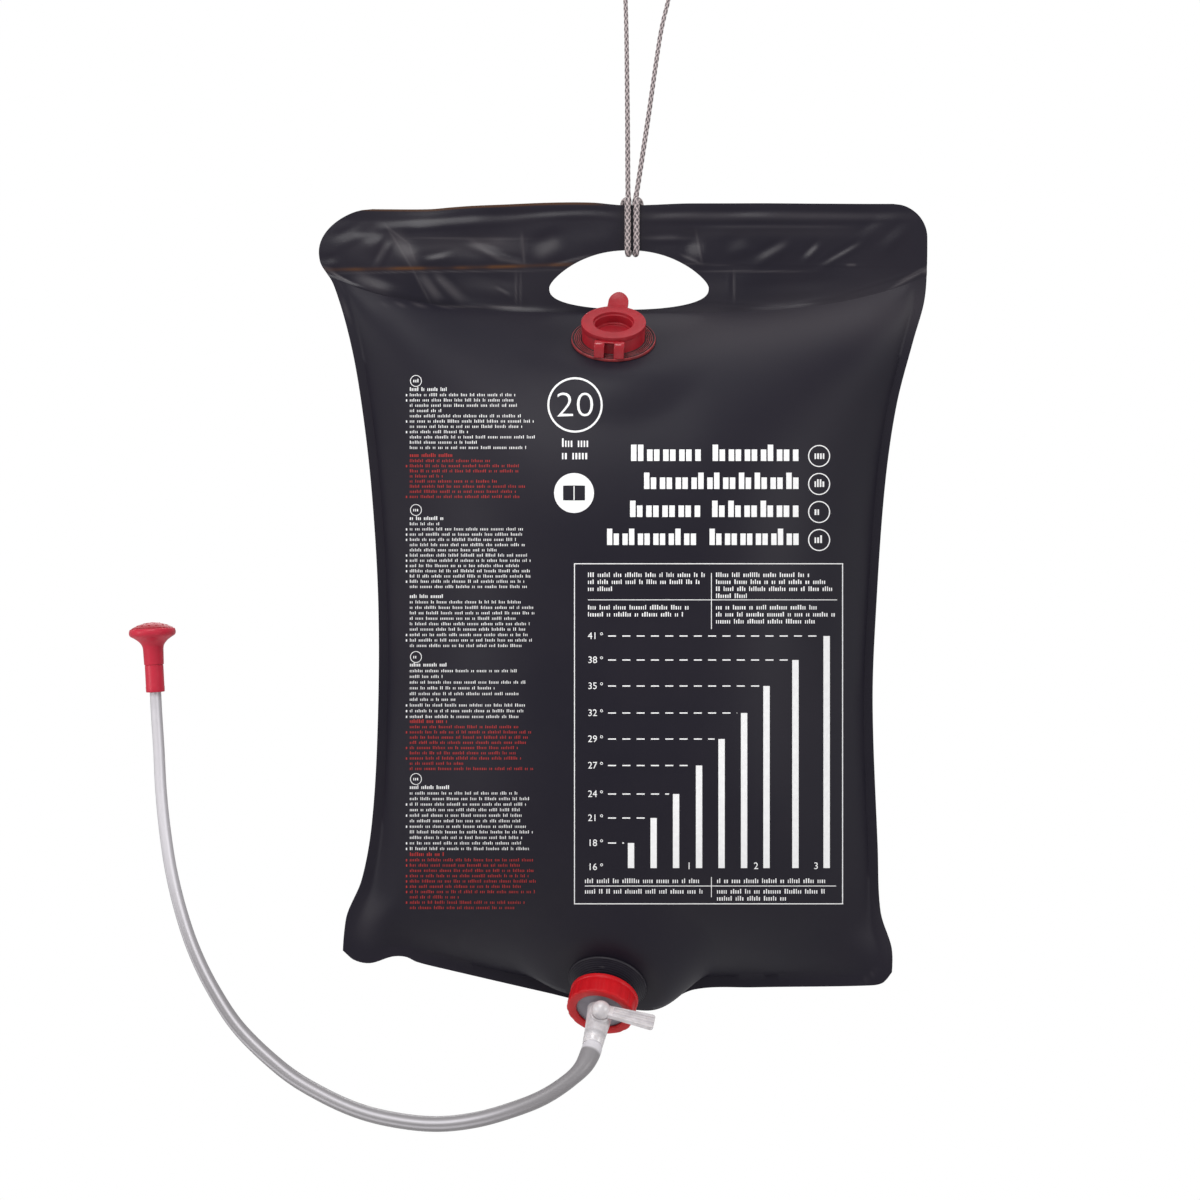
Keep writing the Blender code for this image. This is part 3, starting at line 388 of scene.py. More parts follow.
# A darker copy of the rose's red for its domed top: painted shade.
SHADED_PLATE_RED = Finish("plate_crimson_shaded", (0.37, 0.012, 0.025), (0.30, 0.010, 0.020), 0.45, 0.12, 60.0, 2400.0,
                   0.00001, specular=0.12)
TONGUE_RED = Finish("tongue_red", (0.345, 0.0110, 0.0200), (0.29, 0.0090, 0.0170), 0.24, 0.10, 60.0, 2400.0,
                    0.00001, specular=0.5)
ROSE_RED = Finish("moulding_crimson", (0.56, 0.026, 0.054), (0.50, 0.022, 0.047), 0.36, 0.12, 60.0, 2400.0,
                  0.00002, (0.56, 0.05, 0.07), 0.10, specular=0.26, subsurface=0.10, subsurface_depth=0.0012)
NUT_RED = Finish("moulding_bright_red", (0.55, 0.0080, 0.0130), (0.47, 0.0065, 0.0120), 0.34, 0.12, 60.0,
                 2400.0, 0.00002, (0.62, 0.05, 0.035), 0.25, specular=0.24, subsurface=0.10,
                 subsurface_depth=0.0012)
FLANGE_BLACK = Finish("welded_film", (0.012, 0.009, 0.012), (0.030, 0.008, 0.011), 0.32, 0.15, 90.0, 3000.0,
                      0.00002, specular=0.25)
RING_RED = Finish("welded_rings", (0.34, 0.040, 0.044), (0.16, 0.030, 0.034), 0.36, 0.15, 240.0, 3000.0,
                  0.00002, specular=0.3)
NECK_BLACK = Finish("moulding_black", (0.0092, 0.0078, 0.0140), (0.0125, 0.0104, 0.0170), 0.44, 0.12, 70.0,
                    2600.0, 0.00002, (0.050, 0.046, 0.053), 0.7, specular=0.16)
TAP_WHITE = Finish("moulding_natural", (0.69, 0.655, 0.67), (0.49, 0.46, 0.475), 0.22, 0.12, 110.0, 1500.0,
                   0.000018, specular=0.55, subsurface=0.30, subsurface_depth=0.003)
TAP_GREY = Finish("moulding_natural_shaded", (0.26, 0.24, 0.27), (0.20, 0.185, 0.215), 0.40, 0.12, 70.0,
                  1500.0, 0.00002, specular=0.3, subsurface=0.2)
# The hose mixes in a near-white painted highlight along its stripes.
HOSE_CLEAR = Finish("hose_clear", (0.30, 0.285, 0.298), (0.28, 0.267, 0.278), 0.30, 0.05, 26.0, 400.0,
                    0.000001, specular=0.3, transmission=0.14, ior=1.40,
                    masks=(("painted_highlight_stripe", (0.94, 0.91, 0.96)),))
# The braid is darkened in its crevices: painted shade.
CORD_WHITE = Finish("braid_white", (0.53, 0.45, 0.45), (0.46, 0.385, 0.385), 0.62, 0.1, 200.0, 5200.0,
                    0.00005, specular=0.3, masks=(("painted_crevice_shade", (0.08, 0.070, 0.075)),))
RUBBER_GREY = Finish("rubber_grey", (0.10, 0.10, 0.10), (0.12, 0.12, 0.12), 0.72)
FLOOR_PALE = Finish("floor_pale", (0.82, 0.82, 0.82), (0.80, 0.80, 0.80), 0.7)


# Modelling steps


SAME_PLACE = 0.000002
OUTWARD = partial(bpy.ops.mesh.normals_make_consistent, inside=False)


class Bench:
    """Modelling steps done with Blender's own operators."""

    @staticmethod
    def clear() -> None:
        """Deselects every object."""
        if bpy.context.object and bpy.context.object.mode != "OBJECT":
            bpy.ops.object.mode_set(mode="OBJECT")
        bpy.ops.object.select_all(action="DESELECT")

    @classmethod
    def hold(cls, made: Piece) -> None:
        """Selects one object and makes it the active one."""
        cls.clear()
        made.select_set(True)
        bpy.context.view_layer.objects.active = made

    @classmethod
    def modify(cls, made: Piece, kind: str, **settings: object) -> None:
        """Adds a modifier of a kind with its settings and applies it."""
        step = made.modifiers.new("Step", kind)
        for name, value in settings.items():
            setattr(step, name, value)
        cls.hold(made)
        bpy.ops.object.modifier_apply(modifier=step.name)

    @classmethod
    def edit(cls, made: Piece, *steps: Callable[[], object]) -> None:
        """Goes through steps in edit mode, each of them on the whole mesh."""
        cls.hold(made)
        bpy.ops.object.mode_set(mode="EDIT")
        for step in steps:
            bpy.ops.mesh.select_all(action="SELECT")
            step()
        bpy.ops.object.mode_set(mode="OBJECT")

    @classmethod
    def settle(cls, made: Piece, place: Matrix | None = None) -> None:
        """Moves a piece to a frame and puts that place into its mesh."""
        if place is not None:
            made.matrix_world = place @ made.matrix_world
        cls.hold(made)
        bpy.ops.object.transform_apply(location=True, rotation=True, scale=True)

    @classmethod
    def spun(cls, name: str, profile: list[Pair], steps: int) -> Piece:
        """Turns a closed profile about Z with the spin tool.

        Args:
            name: The new object's name.
            profile: (radius, height) pairs round the section.
            steps: How many faces go round.

        Returns:
            The solid, standing at the origin.
        """
        cls.clear()
        bpy.ops.mesh.primitive_circle_add(vertices=len(profile), fill_type="NOTHING")
        made = bpy.context.object
        made.name = made.data.name = name
        for point, (radius, height) in zip(made.data.vertices, profile):
            point.co = (radius, 0.0, height)
        spin = partial(bpy.ops.mesh.spin, steps=steps, angle=2 * math.pi, center=(0, 0, 0), axis=(0, 0, 1))
        cls.edit(made, spin, partial(bpy.ops.mesh.remove_doubles, threshold=SAME_PLACE), OUTWARD)
        return made

    @classmethod
    def cylinder(cls, radius: float, low: float, high: float, sides: int = 48) -> Piece:
        """A cylinder along Z between two heights."""
        cls.clear()
        bpy.ops.mesh.primitive_cylinder_add(vertices=sides, radius=radius, depth=high - low,
                                            location=(0, 0, (low + high) / 2))
        cls.settle(bpy.context.object)
        return bpy.context.object

    @classmethod
    def prism(cls, outline: list[Pair], low: float, high: float) -> Piece:
        """A flat outline raised along Z with the extrude tool.

        Args:
            outline: X and Y of the outline's points.
            low: The lower face's height.
            high: The upper face's height.

        Returns:
            The solid.
        """
        cls.clear()
        bpy.ops.mesh.primitive_circle_add(vertices=len(outline), fill_type="NGON")
        made = bpy.context.object
        for point, (x, y) in zip(made.data.vertices, outline):
            point.co = (x, y, low)
        up = {"value": (0, 0, high - low)}
        cls.edit(made, partial(bpy.ops.mesh.extrude_region_move, TRANSFORM_OT_translate=up), OUTWARD)
        return made

    @classmethod
    def combine(cls, made: Piece, other: Piece, operation: str) -> None:
        """Joins or cuts with another solid, which is used up."""
        cls.modify(made, "BOOLEAN", operation=operation, solver="EXACT", object=other)
        bpy.data.objects.remove(other)

    @classmethod
    def rounded(cls, made: Piece, width: float, segments: int = 2, sharp: float = 32.0) -> None:
        """Rounds the sharp edges of a solid and shades it smooth between what stays sharp."""
        cls.modify(made, "BEVEL", width=width, segments=segments, limit_method="ANGLE",
                   angle_limit=math.radians(sharp), use_clamp_overlap=True)
        cls.smooth(made)

    @classmethod
    def smooth(cls, made: Piece, sharp: float = 40.0) -> None:
        """Shades smooth, apart from edges sharper than an angle in degrees."""
        cls.hold(made)
        bpy.ops.object.shade_smooth_by_angle(angle=math.radians(sharp))

    @classmethod
    def moulded(cls, made: Piece, voxel: float, passes: int) -> None:
        """Blends joined solids into one soft moulding.

        Args:
            made: The solid to blend.
            voxel: The size of the new faces.
            passes: How often the surface is relaxed.
        """
        cls.modify(made, "REMESH", mode="VOXEL", voxel_size=voxel, use_smooth_shade=True)
        cls.modify(made, "SMOOTH", factor=0.5, iterations=passes)

    @classmethod
    def joined(cls, name: str, pieces: list[Piece]) -> Piece:
        """Joins pieces into one object with one name."""
        cls.hold(pieces[0])
        for piece in pieces:
            piece.select_set(True)
        bpy.ops.object.join()
        pieces[0].name = pieces[0].data.name = name
        return pieces[0]


def mesh_object(name: str, points: Array, faces: list[Face]) -> Piece:
    """Links a mesh made of points and faces.

    Args:
        name: The object's name.
        points: One row of X, Y, Z for each point.
        faces: Point numbers round each face.

    Returns:
        The object, shaded smooth.
    """
    mesh = bpy.data.meshes.new(name)
    mesh.from_pydata([tuple(p) for p in points], [], faces)
    mesh.shade_smooth()
    made = bpy.data.objects.new(name, mesh)
    bpy.context.scene.collection.objects.link(made)
    return made


def paint(made: Piece, *finishes: Finish) -> None:
    """Adds finishes to a piece, in order."""
    for finish in finishes:
        made.data.materials.append(finish.material())


def set_attribute(made: Piece, name: str, values: Array) -> None:
    """Keeps one number for each point of a mesh."""
    kept = made.data.attributes.new(name, "FLOAT", "POINT")
    kept.data.foreach_set("value", values.astype(np.float32))


def finish_piece(made: Piece, body: str, slot: Slot, finish: Finish, *replaced: str) -> None:
    """Gives a piece its finish, its body and the CAD nodes that it stands for.

    Args:
        made: The piece, with its place in its mesh.
        body: The CAD body that it rides on.
        slot: The record's material slot; not used.
        finish: What it is finished in, where it has no finish yet.
        replaced: The CAD nodes that it stands for.
    """
    if not made.data.materials:
        paint(made, finish)
    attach(made, body)
    if replaced:
        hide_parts(*replaced)
    LOG.info("%s: %d faces on %s", made.name, len(made.data.polygons), body)


# The bag


@dataclass
class Bag:
    """The film bag: a flat band with a handle slot above a filled chamber."""

    width: float = 0.420
    height: float = 0.555
    top: float = -0.1752
    centre_x: float = -0.0172
    margin: float = 0.008
    left_corner: float = 0.0375
    right_corner: float = 0.0235
    front_depth: float = 0.088
    back_depth: float = 0.082
    band_middle: float = 0.0755
    band_side: float = 0.050
    left_waist: list[Pair] = field(default_factory=lambda: [
        (0.00, 0.000), (0.07, 0.001), (0.10, 0.0105), (0.17, 0.022), (0.25, 0.030), (0.36, 0.037),
        (0.50, 0.0415), (0.65, 0.041), (0.77, 0.037), (0.84, 0.030), (0.89, 0.019), (1.00, 0.016)])
    right_waist: list[Pair] = field(default_factory=lambda: [
        (0.00, 0.000), (0.07, 0.000), (0.12, 0.0018), (0.17, 0.0095), (0.25, 0.021), (0.35, 0.029),
        (0.50, 0.035), (0.62, 0.0375), (0.80, 0.034), (0.88, 0.032), (0.93, 0.024), (1.00, 0.027)])
    low_edge: list[Pair] = field(default_factory=lambda: [
        (0.00, 0.040), (0.02, 0.0335), (0.05, 0.0312), (0.09, 0.0357), (0.115, 0.0355), (0.135, 0.0320),
        (0.19, 0.0268), (0.37, 0.011), (0.50, 0.000), (0.57, 0.001), (0.64, 0.013), (0.75, 0.0145),
        (0.96, 0.0158), (0.985, 0.0180), (1.00, 0.025)])
    slot_x: float = -0.0128
    slot_down: float = 0.0580
    slot_width: float = 0.110
    slot_rise: float = 0.026
    slot_drop: float = 0.0150

    def side(self, z: Array, waist: list[Pair], corner: float) -> Array:
        """How far a side is drawn in at a height, with its round top corner."""
        down = self.top - z
        left_over = np.maximum(corner - down, 0.0)
        return along(waist, down / self.height) + corner - np.sqrt(np.maximum(corner**2 - left_over**2, 0.0))

    def weld_line(self, across: Array) -> Array:
        """Height of the weld between band and chamber."""
        rise = (self.band_middle - self.band_side) * np.abs(2 * across - 1) ** 3.5
        return self.top - self.band_middle + rise

    def lower_edge(self, across: Array) -> Array:
        """Height of the film's lower edge."""
        return self.top - self.height + along(self.low_edge, across)

    def row_height(self, across: Array, row: Array) -> Array:
        """Height of a row: 0 at the top edge, 1 at the weld line and 2 at the lower edge."""
        weld = self.weld_line(across)
        band = self.top + (weld - self.top) * row
        return np.where(row <= 1, band, weld + (self.lower_edge(across) - weld) * (row - 1))

    def flat_point(self, across: Array, row: Array) -> tuple[Array, Array]:
        """X and Z of points on the film.

        Args:
            across: Shares of the width from the left.
            row: 0 at the top edge, 1 at the weld line and 2 at the lower edge.

        Returns:
            X and Z.
        """
        left_z, right_z = (self.row_height(np.full_like(row, side), row) for side in (0.0, 1.0))
        left = self.centre_x - self.width / 2 + self.side(left_z, self.left_waist, self.left_corner)
        right = self.centre_x + self.width / 2 - self.side(right_z, self.right_waist, self.right_corner)
        return left + (right - left) * across, self.row_height(across, row)

    def bulge(self, across: Array, row: Array) -> Array:
        """How full the chamber is, from 0 at its welds to 1."""
        edge = self.margin / self.width
        side = (across - edge) / (1 - 2 * edge) * 2 - 1
        weld = self.weld_line(across)
        chamber = weld - self.lower_edge(across) - self.margin
        down = (weld - self.row_height(across, row)) / chamber * 2 - 1
        full = (1 - np.abs(side) ** 3) * (1 - down**4)
        return np.where((np.abs(side) >= 1) | (np.abs(down) >= 1), 0.0, full)

    def front_point(self, across: float, row: float) -> Vector:
        """One point on the front film's inner face, before the fittings pull it."""
        share, level = np.array([across]), np.array([row])
        x, z = self.flat_point(share, level)
        return Vector((x[0], -GAP / 2 - self.front_depth * self.bulge(share, level)[0], z[0]))

    def filler_frame(self) -> Matrix:
        """The filler's seat on the film, Z out of the bag and Y up the slope."""
        across, down, tilt = 0.4676, 0.0230, math.radians(53)
        share = np.array([across])
        chamber = (self.weld_line(share) - self.lower_edge(share))[0]
        out = Vector((0, -math.cos(tilt), math.sin(tilt)))
        return frame_on(self.front_point(across, 1 + down / chamber) + FILM * out, out, TO_RIGHT)

    def outlet_frame(self) -> Matrix:
        """The outlet's seat on the film, Z out of the bag and X to the right."""
        across, up, push = 0.4813, 0.0150, 0.013
        dip, turn = math.radians(40.3), math.radians(14.5)
        share = np.array([across])
        chamber = (self.weld_line(share) - self.lower_edge(share))[0]
        centre = self.front_point(across, 2 - (up + self.margin) / chamber) + push * TO_FRONT
        level = math.cos(dip)
        out = Vector((-level * math.sin(turn), -level * math.cos(turn), -math.sin(dip)))
        return frame_on(centre, out, TO_RIGHT)


FOLD_STEEPNESS = 0.72


@dataclass(frozen=True)
class Fold:
    """A place where the film leans over, as long and wide as it looks in the front view."""

    px: float
    py: float
    length: float
    width: float
    turn: float
    lean: float

    @property
    def half_length(self) -> float:
        """Half its length in metres."""
        return 0.5 * self.length * PIXEL

    @property
    def half_width(self) -> float:
        """Half its width in metres."""
        return 0.5 * self.width * PIXEL

    def place(self, x: Array, z: Array) -> tuple[Array, Array]:
        """Where points lie along and across the fold, in metres."""
        at = plane_point(self.px, self.py)
        right, down, turn = x - at[0], at[1] - z, math.radians(self.turn)
        return right * math.cos(turn) + down * math.sin(turn), down * math.cos(turn) - right * math.sin(turn)

    def raised(self, x: Array, z: Array) -> Array:
        """How far the fold lifts the film.

        Args:
            x: X of the film's points.
            z: Z of the film's points.

        Returns:
            The lift: the film leans over across the fold and levels out round it.
        """
        run, off = self.place(x, z)
        past = np.abs(run / self.half_length) ** 3 + np.abs(off / self.half_width) ** 3.2
        return FOLD_STEEPNESS * self.lean * off * np.exp(-past)

    def share(self, x: Array, z: Array) -> Array:
        """How much painted highlight the fold lays on points, up to its lean."""
        run, off = self.place(x, z)
        past = (run / self.half_length) ** 4 + (off / self.half_width) ** 2
        return self.lean * np.exp(-past)


# Each row: the centre in the front view, length, width, turn in degrees, and lean.
AMBER_FOLDS = [Fold(*row) for row in (
    (387, 269.0, 122, 2.8, -0.6, -0.26), (508, 266.4, 128, 2.8, -1.8, -0.26),
)]
BAND_FOLDS = AMBER_FOLDS + [Fold(*row) for row in (
    (405, 248, 28, 36, -18, 0.17), (382, 253, 28, 11, -65, 0.36), (371, 236, 22, 26, -25, 0.18),
    (350, 233, 34, 18, -30, 0.15), (450, 219.0, 160, 13, -1.5, 0.19), (565, 215, 130, 9, -1.5, 0.22),
    (466, 238.5, 110, 3.6, 0, 0.12), (468, 250, 108, 27, -3, 0.12), (523, 249, 28, 5, 90, 0.32),
    (484, 247, 44, 14, 22, 0.20), (437, 256, 30, 12, -12, 0.20), (511, 258, 32, 8, 14, 0.20),
    (548, 248, 32, 26, -15, 0.20), (572, 260.0, 40, 5, -14, 0.26), (374, 283, 46, 19, 20, 0.27),
    (431, 287, 32, 14, 50, 0.34), (450, 288, 42, 15, 42, 0.30), (490, 285, 50, 20, 10, 0.12),
    (517.5, 288, 30, 4, 90, 0.32), (503, 291, 16, 6, 30, 0.22), (340, 277, 26, 5, 29, 0.26),
    (328, 262, 20, 12, -15, 0.22), (345, 303, 34, 3.8, 76, 0.30), (442, 304, 110, 3.4, 1, 0.16),
    (700, 215.6, 130, 10, 0, 0.24), (822, 216, 160, 10, 0, 0.24), (770, 227, 150, 7, 0, 0.20),
    (666, 237, 60, 10, 0, 0.22), (694, 250, 20, 30, -20, 0.26), (701, 248, 30, 3.6, 82, 0.30),
    (690, 258.5, 26, 5, 24, 0.24), (737, 245, 24, 20, -15, 0.20), (772, 251, 38, 15, -30, 0.28),
    (811, 251, 24, 11, -45, 0.32), (841, 254, 46, 9, -30, 0.30), (792, 266, 185, 3.2, 0.8, -0.20),
    (770, 271, 98, 3.6, 0, 0.17), (851, 265, 12, 4, 0, 0.20), (734, 286.5, 28, 3.6, -90, 0.30),
    (730.5, 286.5, 28, 6, 90, 0.18), (790, 288, 90, 14, -4, 0.08), (911, 277, 44, 4.6, -28, 0.28),
    (925, 269.5, 15, 8, -20, 0.22), (676, 306.5, 66, 3.8, -7, -0.22), (742, 304.5, 66, 3.8, 4, -0.22),
    (806, 302.5, 62, 3.8, -8, -0.22), (880, 284, 92, 4.2, -17, -0.22), (893, 236, 36, 16, -40, 0.16),
    (868, 230, 30, 14, -35, 0.14),
)]
# Patches and lines of painted highlight, in the same columns: the lean is how strong the painted highlight
# is.
PAINTED_HIGHLIGHT_FOLDS = [Fold(*row) for row in (
    (400, 248.5, 50, 2.2, 58.8, 0.45), (421.5, 286, 36, 2.4, 62, 0.30), (398, 235.5, 28, 2.0, 37.7, 0.45),
    (412, 252.5, 18, 2.0, 70.6, 0.45), (403, 247, 34, 13, 56, 0.42), (411, 257, 24, 11, 60, 0.30),
    (381.5, 253.5, 22, 5, -65, 0.25), (466, 238.6, 110, 1.8, 0, 0.40), (466, 247, 112, 22, 0, 0.24),
    (523, 249, 28, 3.0, 86, 0.45), (436.5, 257.6, 17, 3.4, -9, 0.40), (486, 250.5, 34, 5, 32, 0.45),
    (510, 261, 26, 3.4, 10, 0.45), (487, 243, 34, 8, -6, 0.30), (547.5, 248, 26, 13, -38, 0.30),
    (572, 260.6, 36, 2.2, -14, 0.55), (372, 283, 36, 13, 26, 0.30), (430, 287, 30, 9, 55, 0.45),
    (449, 288, 36, 8, 44, 0.45), (480, 287, 70, 20, 0, 0.10), (516, 288, 30, 1.8, 90, 0.45),
    (520.5, 288, 30, 1.8, 90, 0.35), (503, 291, 14, 3, 30, 0.30), (340, 277, 22, 2.4, 29, 0.65),
    (326.5, 268.5, 16, 4, 20, 0.40), (345, 303, 34, 2.0, 76, 0.35), (440, 306.5, 110, 2.0, 0.5, 0.45),
    (505, 307.5, 30, 2.4, 1, 0.70), (448, 271.8, 240, 1.6, -0.8, 0.40), (460, 219.5, 170, 9, -2, 0.10),
    (380, 247, 60, 46, 0, 0.07), (750, 271.4, 100, 1.8, 0, 0.40), (666, 238, 52, 3.0, 0, 0.22),
    (699, 247.5, 30, 2.4, 80, 0.40), (695, 250, 14, 20, 30, 0.22), (691, 259.4, 20, 2.2, 24, 0.50),
    (773, 226.8, 130, 2.4, 0, 0.16), (760, 216, 270, 8, 0, 0.26), (760, 232, 230, 12, 0, 0.10),
    (841, 254, 36, 2.2, -30, 0.40), (773, 251, 28, 5, -30, 0.25), (812, 251, 13, 4, -45, 0.40),
    (851, 265, 9, 2.4, 0, 0.50), (734, 286.5, 28, 2.0, 90, 0.40), (909, 279, 38, 1.9, -28, 0.60),
    (913, 274, 34, 1.9, -28, 0.50), (929, 270.5, 8, 4, -20, 0.80), (716, 286.5, 24, 20, 0, 0.10),
    (700, 264.2, 60, 1.6, 2, 0.25), (800, 324, 300, 56, -9, 0.34), (665, 322, 120, 28, 0, 0.20),
    (520, 322, 130, 26, 2, 0.08), (369, 918, 50, 24, -72, 0.16), (885, 930, 60, 14, 78, 0.10),
    (868, 978, 26, 3, -45, 0.16),
)]
CHAMBER_FOLDS = [Fold(*row) for row in (
    (345, 310, 44, 9, 72, 0.16), (871, 976, 18, 3.6, 118, -0.25), (878, 979, 15, 3.6, 112, -0.25),
    (460, 946, 34, 14, 62, 0.12), (550, 980, 40, 10, 64, 0.14), (678, 994, 46, 10, -20, 0.12),
    (398, 938, 30, 14, 65, 0.14), (353, 925, 34, 13, -84, 0.14),
)]


@dataclass
class Film:
    """The two films of the bag, each a dense sheet with its creases and puckers."""

    bag: Bag
    band_columns: int = 390
    band_rows: int = 72
    columns: int = 208
    chamber_rows: int = 96

    def shares(self, columns: int) -> Array:
        """Shares of the width that the film's columns stand at, closer near the sides."""
        edge = self.bag.margin / self.bag.width
        t = np.linspace(-1, 1, columns - 5)
        inner = 0.5 + (0.5 - edge) * (0.86 * t + 0.14 * t**3)
        return np.concatenate([[0.0, 0.45 * edge, 0.8 * edge], inner, [1 - 0.8 * edge, 1 - 0.45 * edge, 1.0]])

    def chamber_levels(self, rows: int) -> Array:
        """Rows from the weld line, 1, to the lower edge, 2, closer near both welds."""
        foot = 2 - self.bag.margin / (self.bag.height - self.bag.band_middle)
        even = np.linspace(0, 1, rows)
        eased = 0.5 - 0.5 * np.cos(np.pi * even)
        return np.concatenate([1 + (foot - 1) * (0.55 * even + 0.45 * eased), [(foot + 2) / 2, 2.0]])

    def edge_shift(self, x: Array) -> Array:
        """How far the top edge sags, most at the left and where the sling pinches it."""
        drops = [(320, 4.5), (390, 5.5), (430, 5.5), (450, 3.8), (470, 2.2), (500, 0.8), (550, -1.2),
                 (592, -1.2), (612, 0.6), (622, 1.4), (640, 1.4), (652, 1.0), (690, -0.4), (870, 0.0),
                 (930, 0.0)]
        points = [(plane_point(px, 0)[0], -drop * PIXEL) for px, drop in drops]
        return along(points, x)

    def waves(self, x: Array, z: Array, size: float, seed: float) -> Array:
        """Seeded soft noise over the film, about -1 to 1.

        Args:
            x: X of the points.
            z: Z of the points.
            size: How large the waves are, in metres.
            seed: Where the noise is read.

        Returns:
            The noise at each point.
        """
        gain = 1.6
        flat = [noise.noise(Vector((a / size, seed, b / size))) for a, b in zip(x.ravel(), z.ravel())]
        return np.array(flat).reshape(x.shape) * gain

    def crumple(self, x: Array, z: Array, row: Array) -> Array:
        """How far the welded band stands to the front, which both films share."""
        inside = smoothstep(0.0, 0.16, row) * (1 - smoothstep(0.93, 1.0, row))
        lift = 0.0014 * self.waves(x, z, 0.060, 3.1) + 0.0004 * self.waves(x, z, 0.024, 7.7)
        lift = lift * (0.35 + 0.65 * inside) * (1 - smoothstep(0.96, 1.0, row))
        for fold in BAND_FOLDS:
            lift = lift + fold.raised(x, z)
        hitch = np.exp(-(((x - HITCH_X) / 0.013) ** 4))
        slot = np.exp(-(((x - self.bag.slot_x) / 0.05) ** 4)) * smoothstep(0.3, 0.5, row)
        return lift * (1 - hitch) * (1 - 0.6 * slot)

    def puckers(self, across: Array, row: Array, x: Array, z: Array) -> Array:
        """How far the chamber's film is gathered along its welds."""
        below = self.bag.weld_line(across) - z
        above = z - self.bag.lower_edge(across) - self.bag.margin
        from_side = np.minimum(across, 1 - across) * self.bag.width - self.bag.margin
        top = 0.0011 * self.waves(x, 0.25 * z, 0.019, 12.4) * np.exp(-np.maximum(below, 0) / 0.016)
        foot = 0.0010 * self.waves(x, 0.25 * z, 0.024, 21.9) * np.exp(-np.maximum(above, 0) / 0.020)
        side = 0.0008 * self.waves(0.2 * x, z, 0.022, 31.2) * np.exp(-np.maximum(from_side, 0) / 0.014)
        broad = 0.0007 * self.waves(x, z, 0.130, 41.0)
        inside = smoothstep(0.0, 0.006, below) * smoothstep(0.0, 0.006, above)
        inside = inside * smoothstep(0.0, 0.005, from_side)
        lift = (top + foot + side + broad) * inside
        for fold in CHAMBER_FOLDS:
            lift = lift + fold.raised(x, z) * inside
        return lift

    def seated(self, points: Array, seat: Matrix, flange: float, full: Array,
               near: float) -> Array:
        """Moves film points towards a fitting's plane, all the way under its flange.

        Args:
            points: The film's points.
            seat: The fitting's frame.
            flange: The flange's radius.
            full: How full the chamber is at each point.
            near: Below this fullness the weld holds the film back.

        Returns:
            The moved points.
        """
        level_to, fades_at = flange + 0.008, flange + 0.045
        inverse, forward = np.array(seat.inverted()), np.array(seat)
        local = points @ inverse[:3, :3].T + inverse[:3, 3]
        away = np.hypot(local[:, 0], local[:, 1])
        pull = (1 - smoothstep(level_to, fades_at, away)) * smoothstep(0.0, near, full)
        local[:, 2] += (-FILM - local[:, 2]) * pull
        return local @ forward[:3, :3].T + forward[:3, 3]

    def sheet_grid(self, name: str, columns: int, rows: int) -> Piece:
        """A flat grid primitive with the film's numbers of columns and rows."""
        Bench.clear()
        bpy.ops.mesh.primitive_grid_add(x_subdivisions=columns - 1, y_subdivisions=rows - 1, size=1.0)
        made = bpy.context.object
        made.name = made.data.name = name
        return made

    def shell(self, name: str, front: bool, shares: Array, levels: Array) -> Piece:
        """Builds the part of one film between two rows.

        Args:
            name: The piece's name.
            front: Whether it is on the printed front.
            shares: Where its columns stand.
            levels: Where its rows stand.

        Returns:
            The film as a thin shell, without slot or holes.
        """
        bag = self.bag
        made = self.sheet_grid(name, len(shares), len(levels))
        paint(made, BAND_FILM if levels[0] < 1 else CHAMBER_FILM)
        across, row = (g.ravel() for g in np.meshgrid(shares, levels))
        x, z = bag.flat_point(across, row)
        full = bag.bulge(across, row)
        facing = -1.0 if front else 1.0
        depth = bag.front_depth if front else bag.back_depth
        y = facing * (GAP / 8 + (depth - GAP / 8) * full)
        if levels[0] < 1:
            y -= self.crumple(x, z, row)
        else:
            y += facing * self.puckers(across, row, x, z)
        z = z + self.edge_shift(x) * (1 - smoothstep(0.0, 0.7, row))
        points = np.stack([x, y, z], 1)
        if front:
            points = self.seated(points, bag.filler_frame(), FILLER_FLANGE, full, 0.08)
            points = self.seated(points, bag.outlet_frame(), OUTLET_FLANGE, full, 0.10)
        made.data.vertices.foreach_set("co", points.astype(np.float32).ravel())
        if front:
            set_attribute(made, "fold_tint", self.tint(x, z, row))
            # Painted highlight: a lighter colour laid where the folds would catch the light.
            light = np.zeros(x.shape)
            for fold in PAINTED_HIGHLIGHT_FOLDS:
                light = 1 - (1 - light) * (1 - fold.share(x, z))
            set_attribute(made, "painted_fold_highlight", light)
        Bench.edit(made, OUTWARD)
        middle = max(made.data.polygons, key=lambda face: abs(face.normal.y))
        if (middle.normal.y < 0) != front:
            made.data.flip_normals()
        Bench.modify(made, "SOLIDIFY", thickness=FILM, offset=1.0)
        return made

    def tint(self, x: Array, z: Array, row: Array) -> Array:
        """Where the film shows amber: along the folded line and along the top edge at the left."""
        tint = np.zeros(x.shape)
        for fold in AMBER_FOLDS:
            run, off = fold.place(x, z)
            past = np.abs(run / fold.half_length) ** 6 + (off / (1.5 * PIXEL)) ** 2
            tint = np.maximum(tint, np.exp(-past))
        patchy = 0.35 + 0.65 * smoothstep(-0.35, 0.35, self.waves(x, 0 * z, 0.022, 61.0))
        starts, full, fades, ends = (plane_point(px, 0)[0] for px in (335, 350, 585, 610))
        on_left = smoothstep(starts, full, x) * (1 - smoothstep(fades, ends, x))
        return np.maximum(tint * patchy, 0.7 * on_left * (row < 0.02))

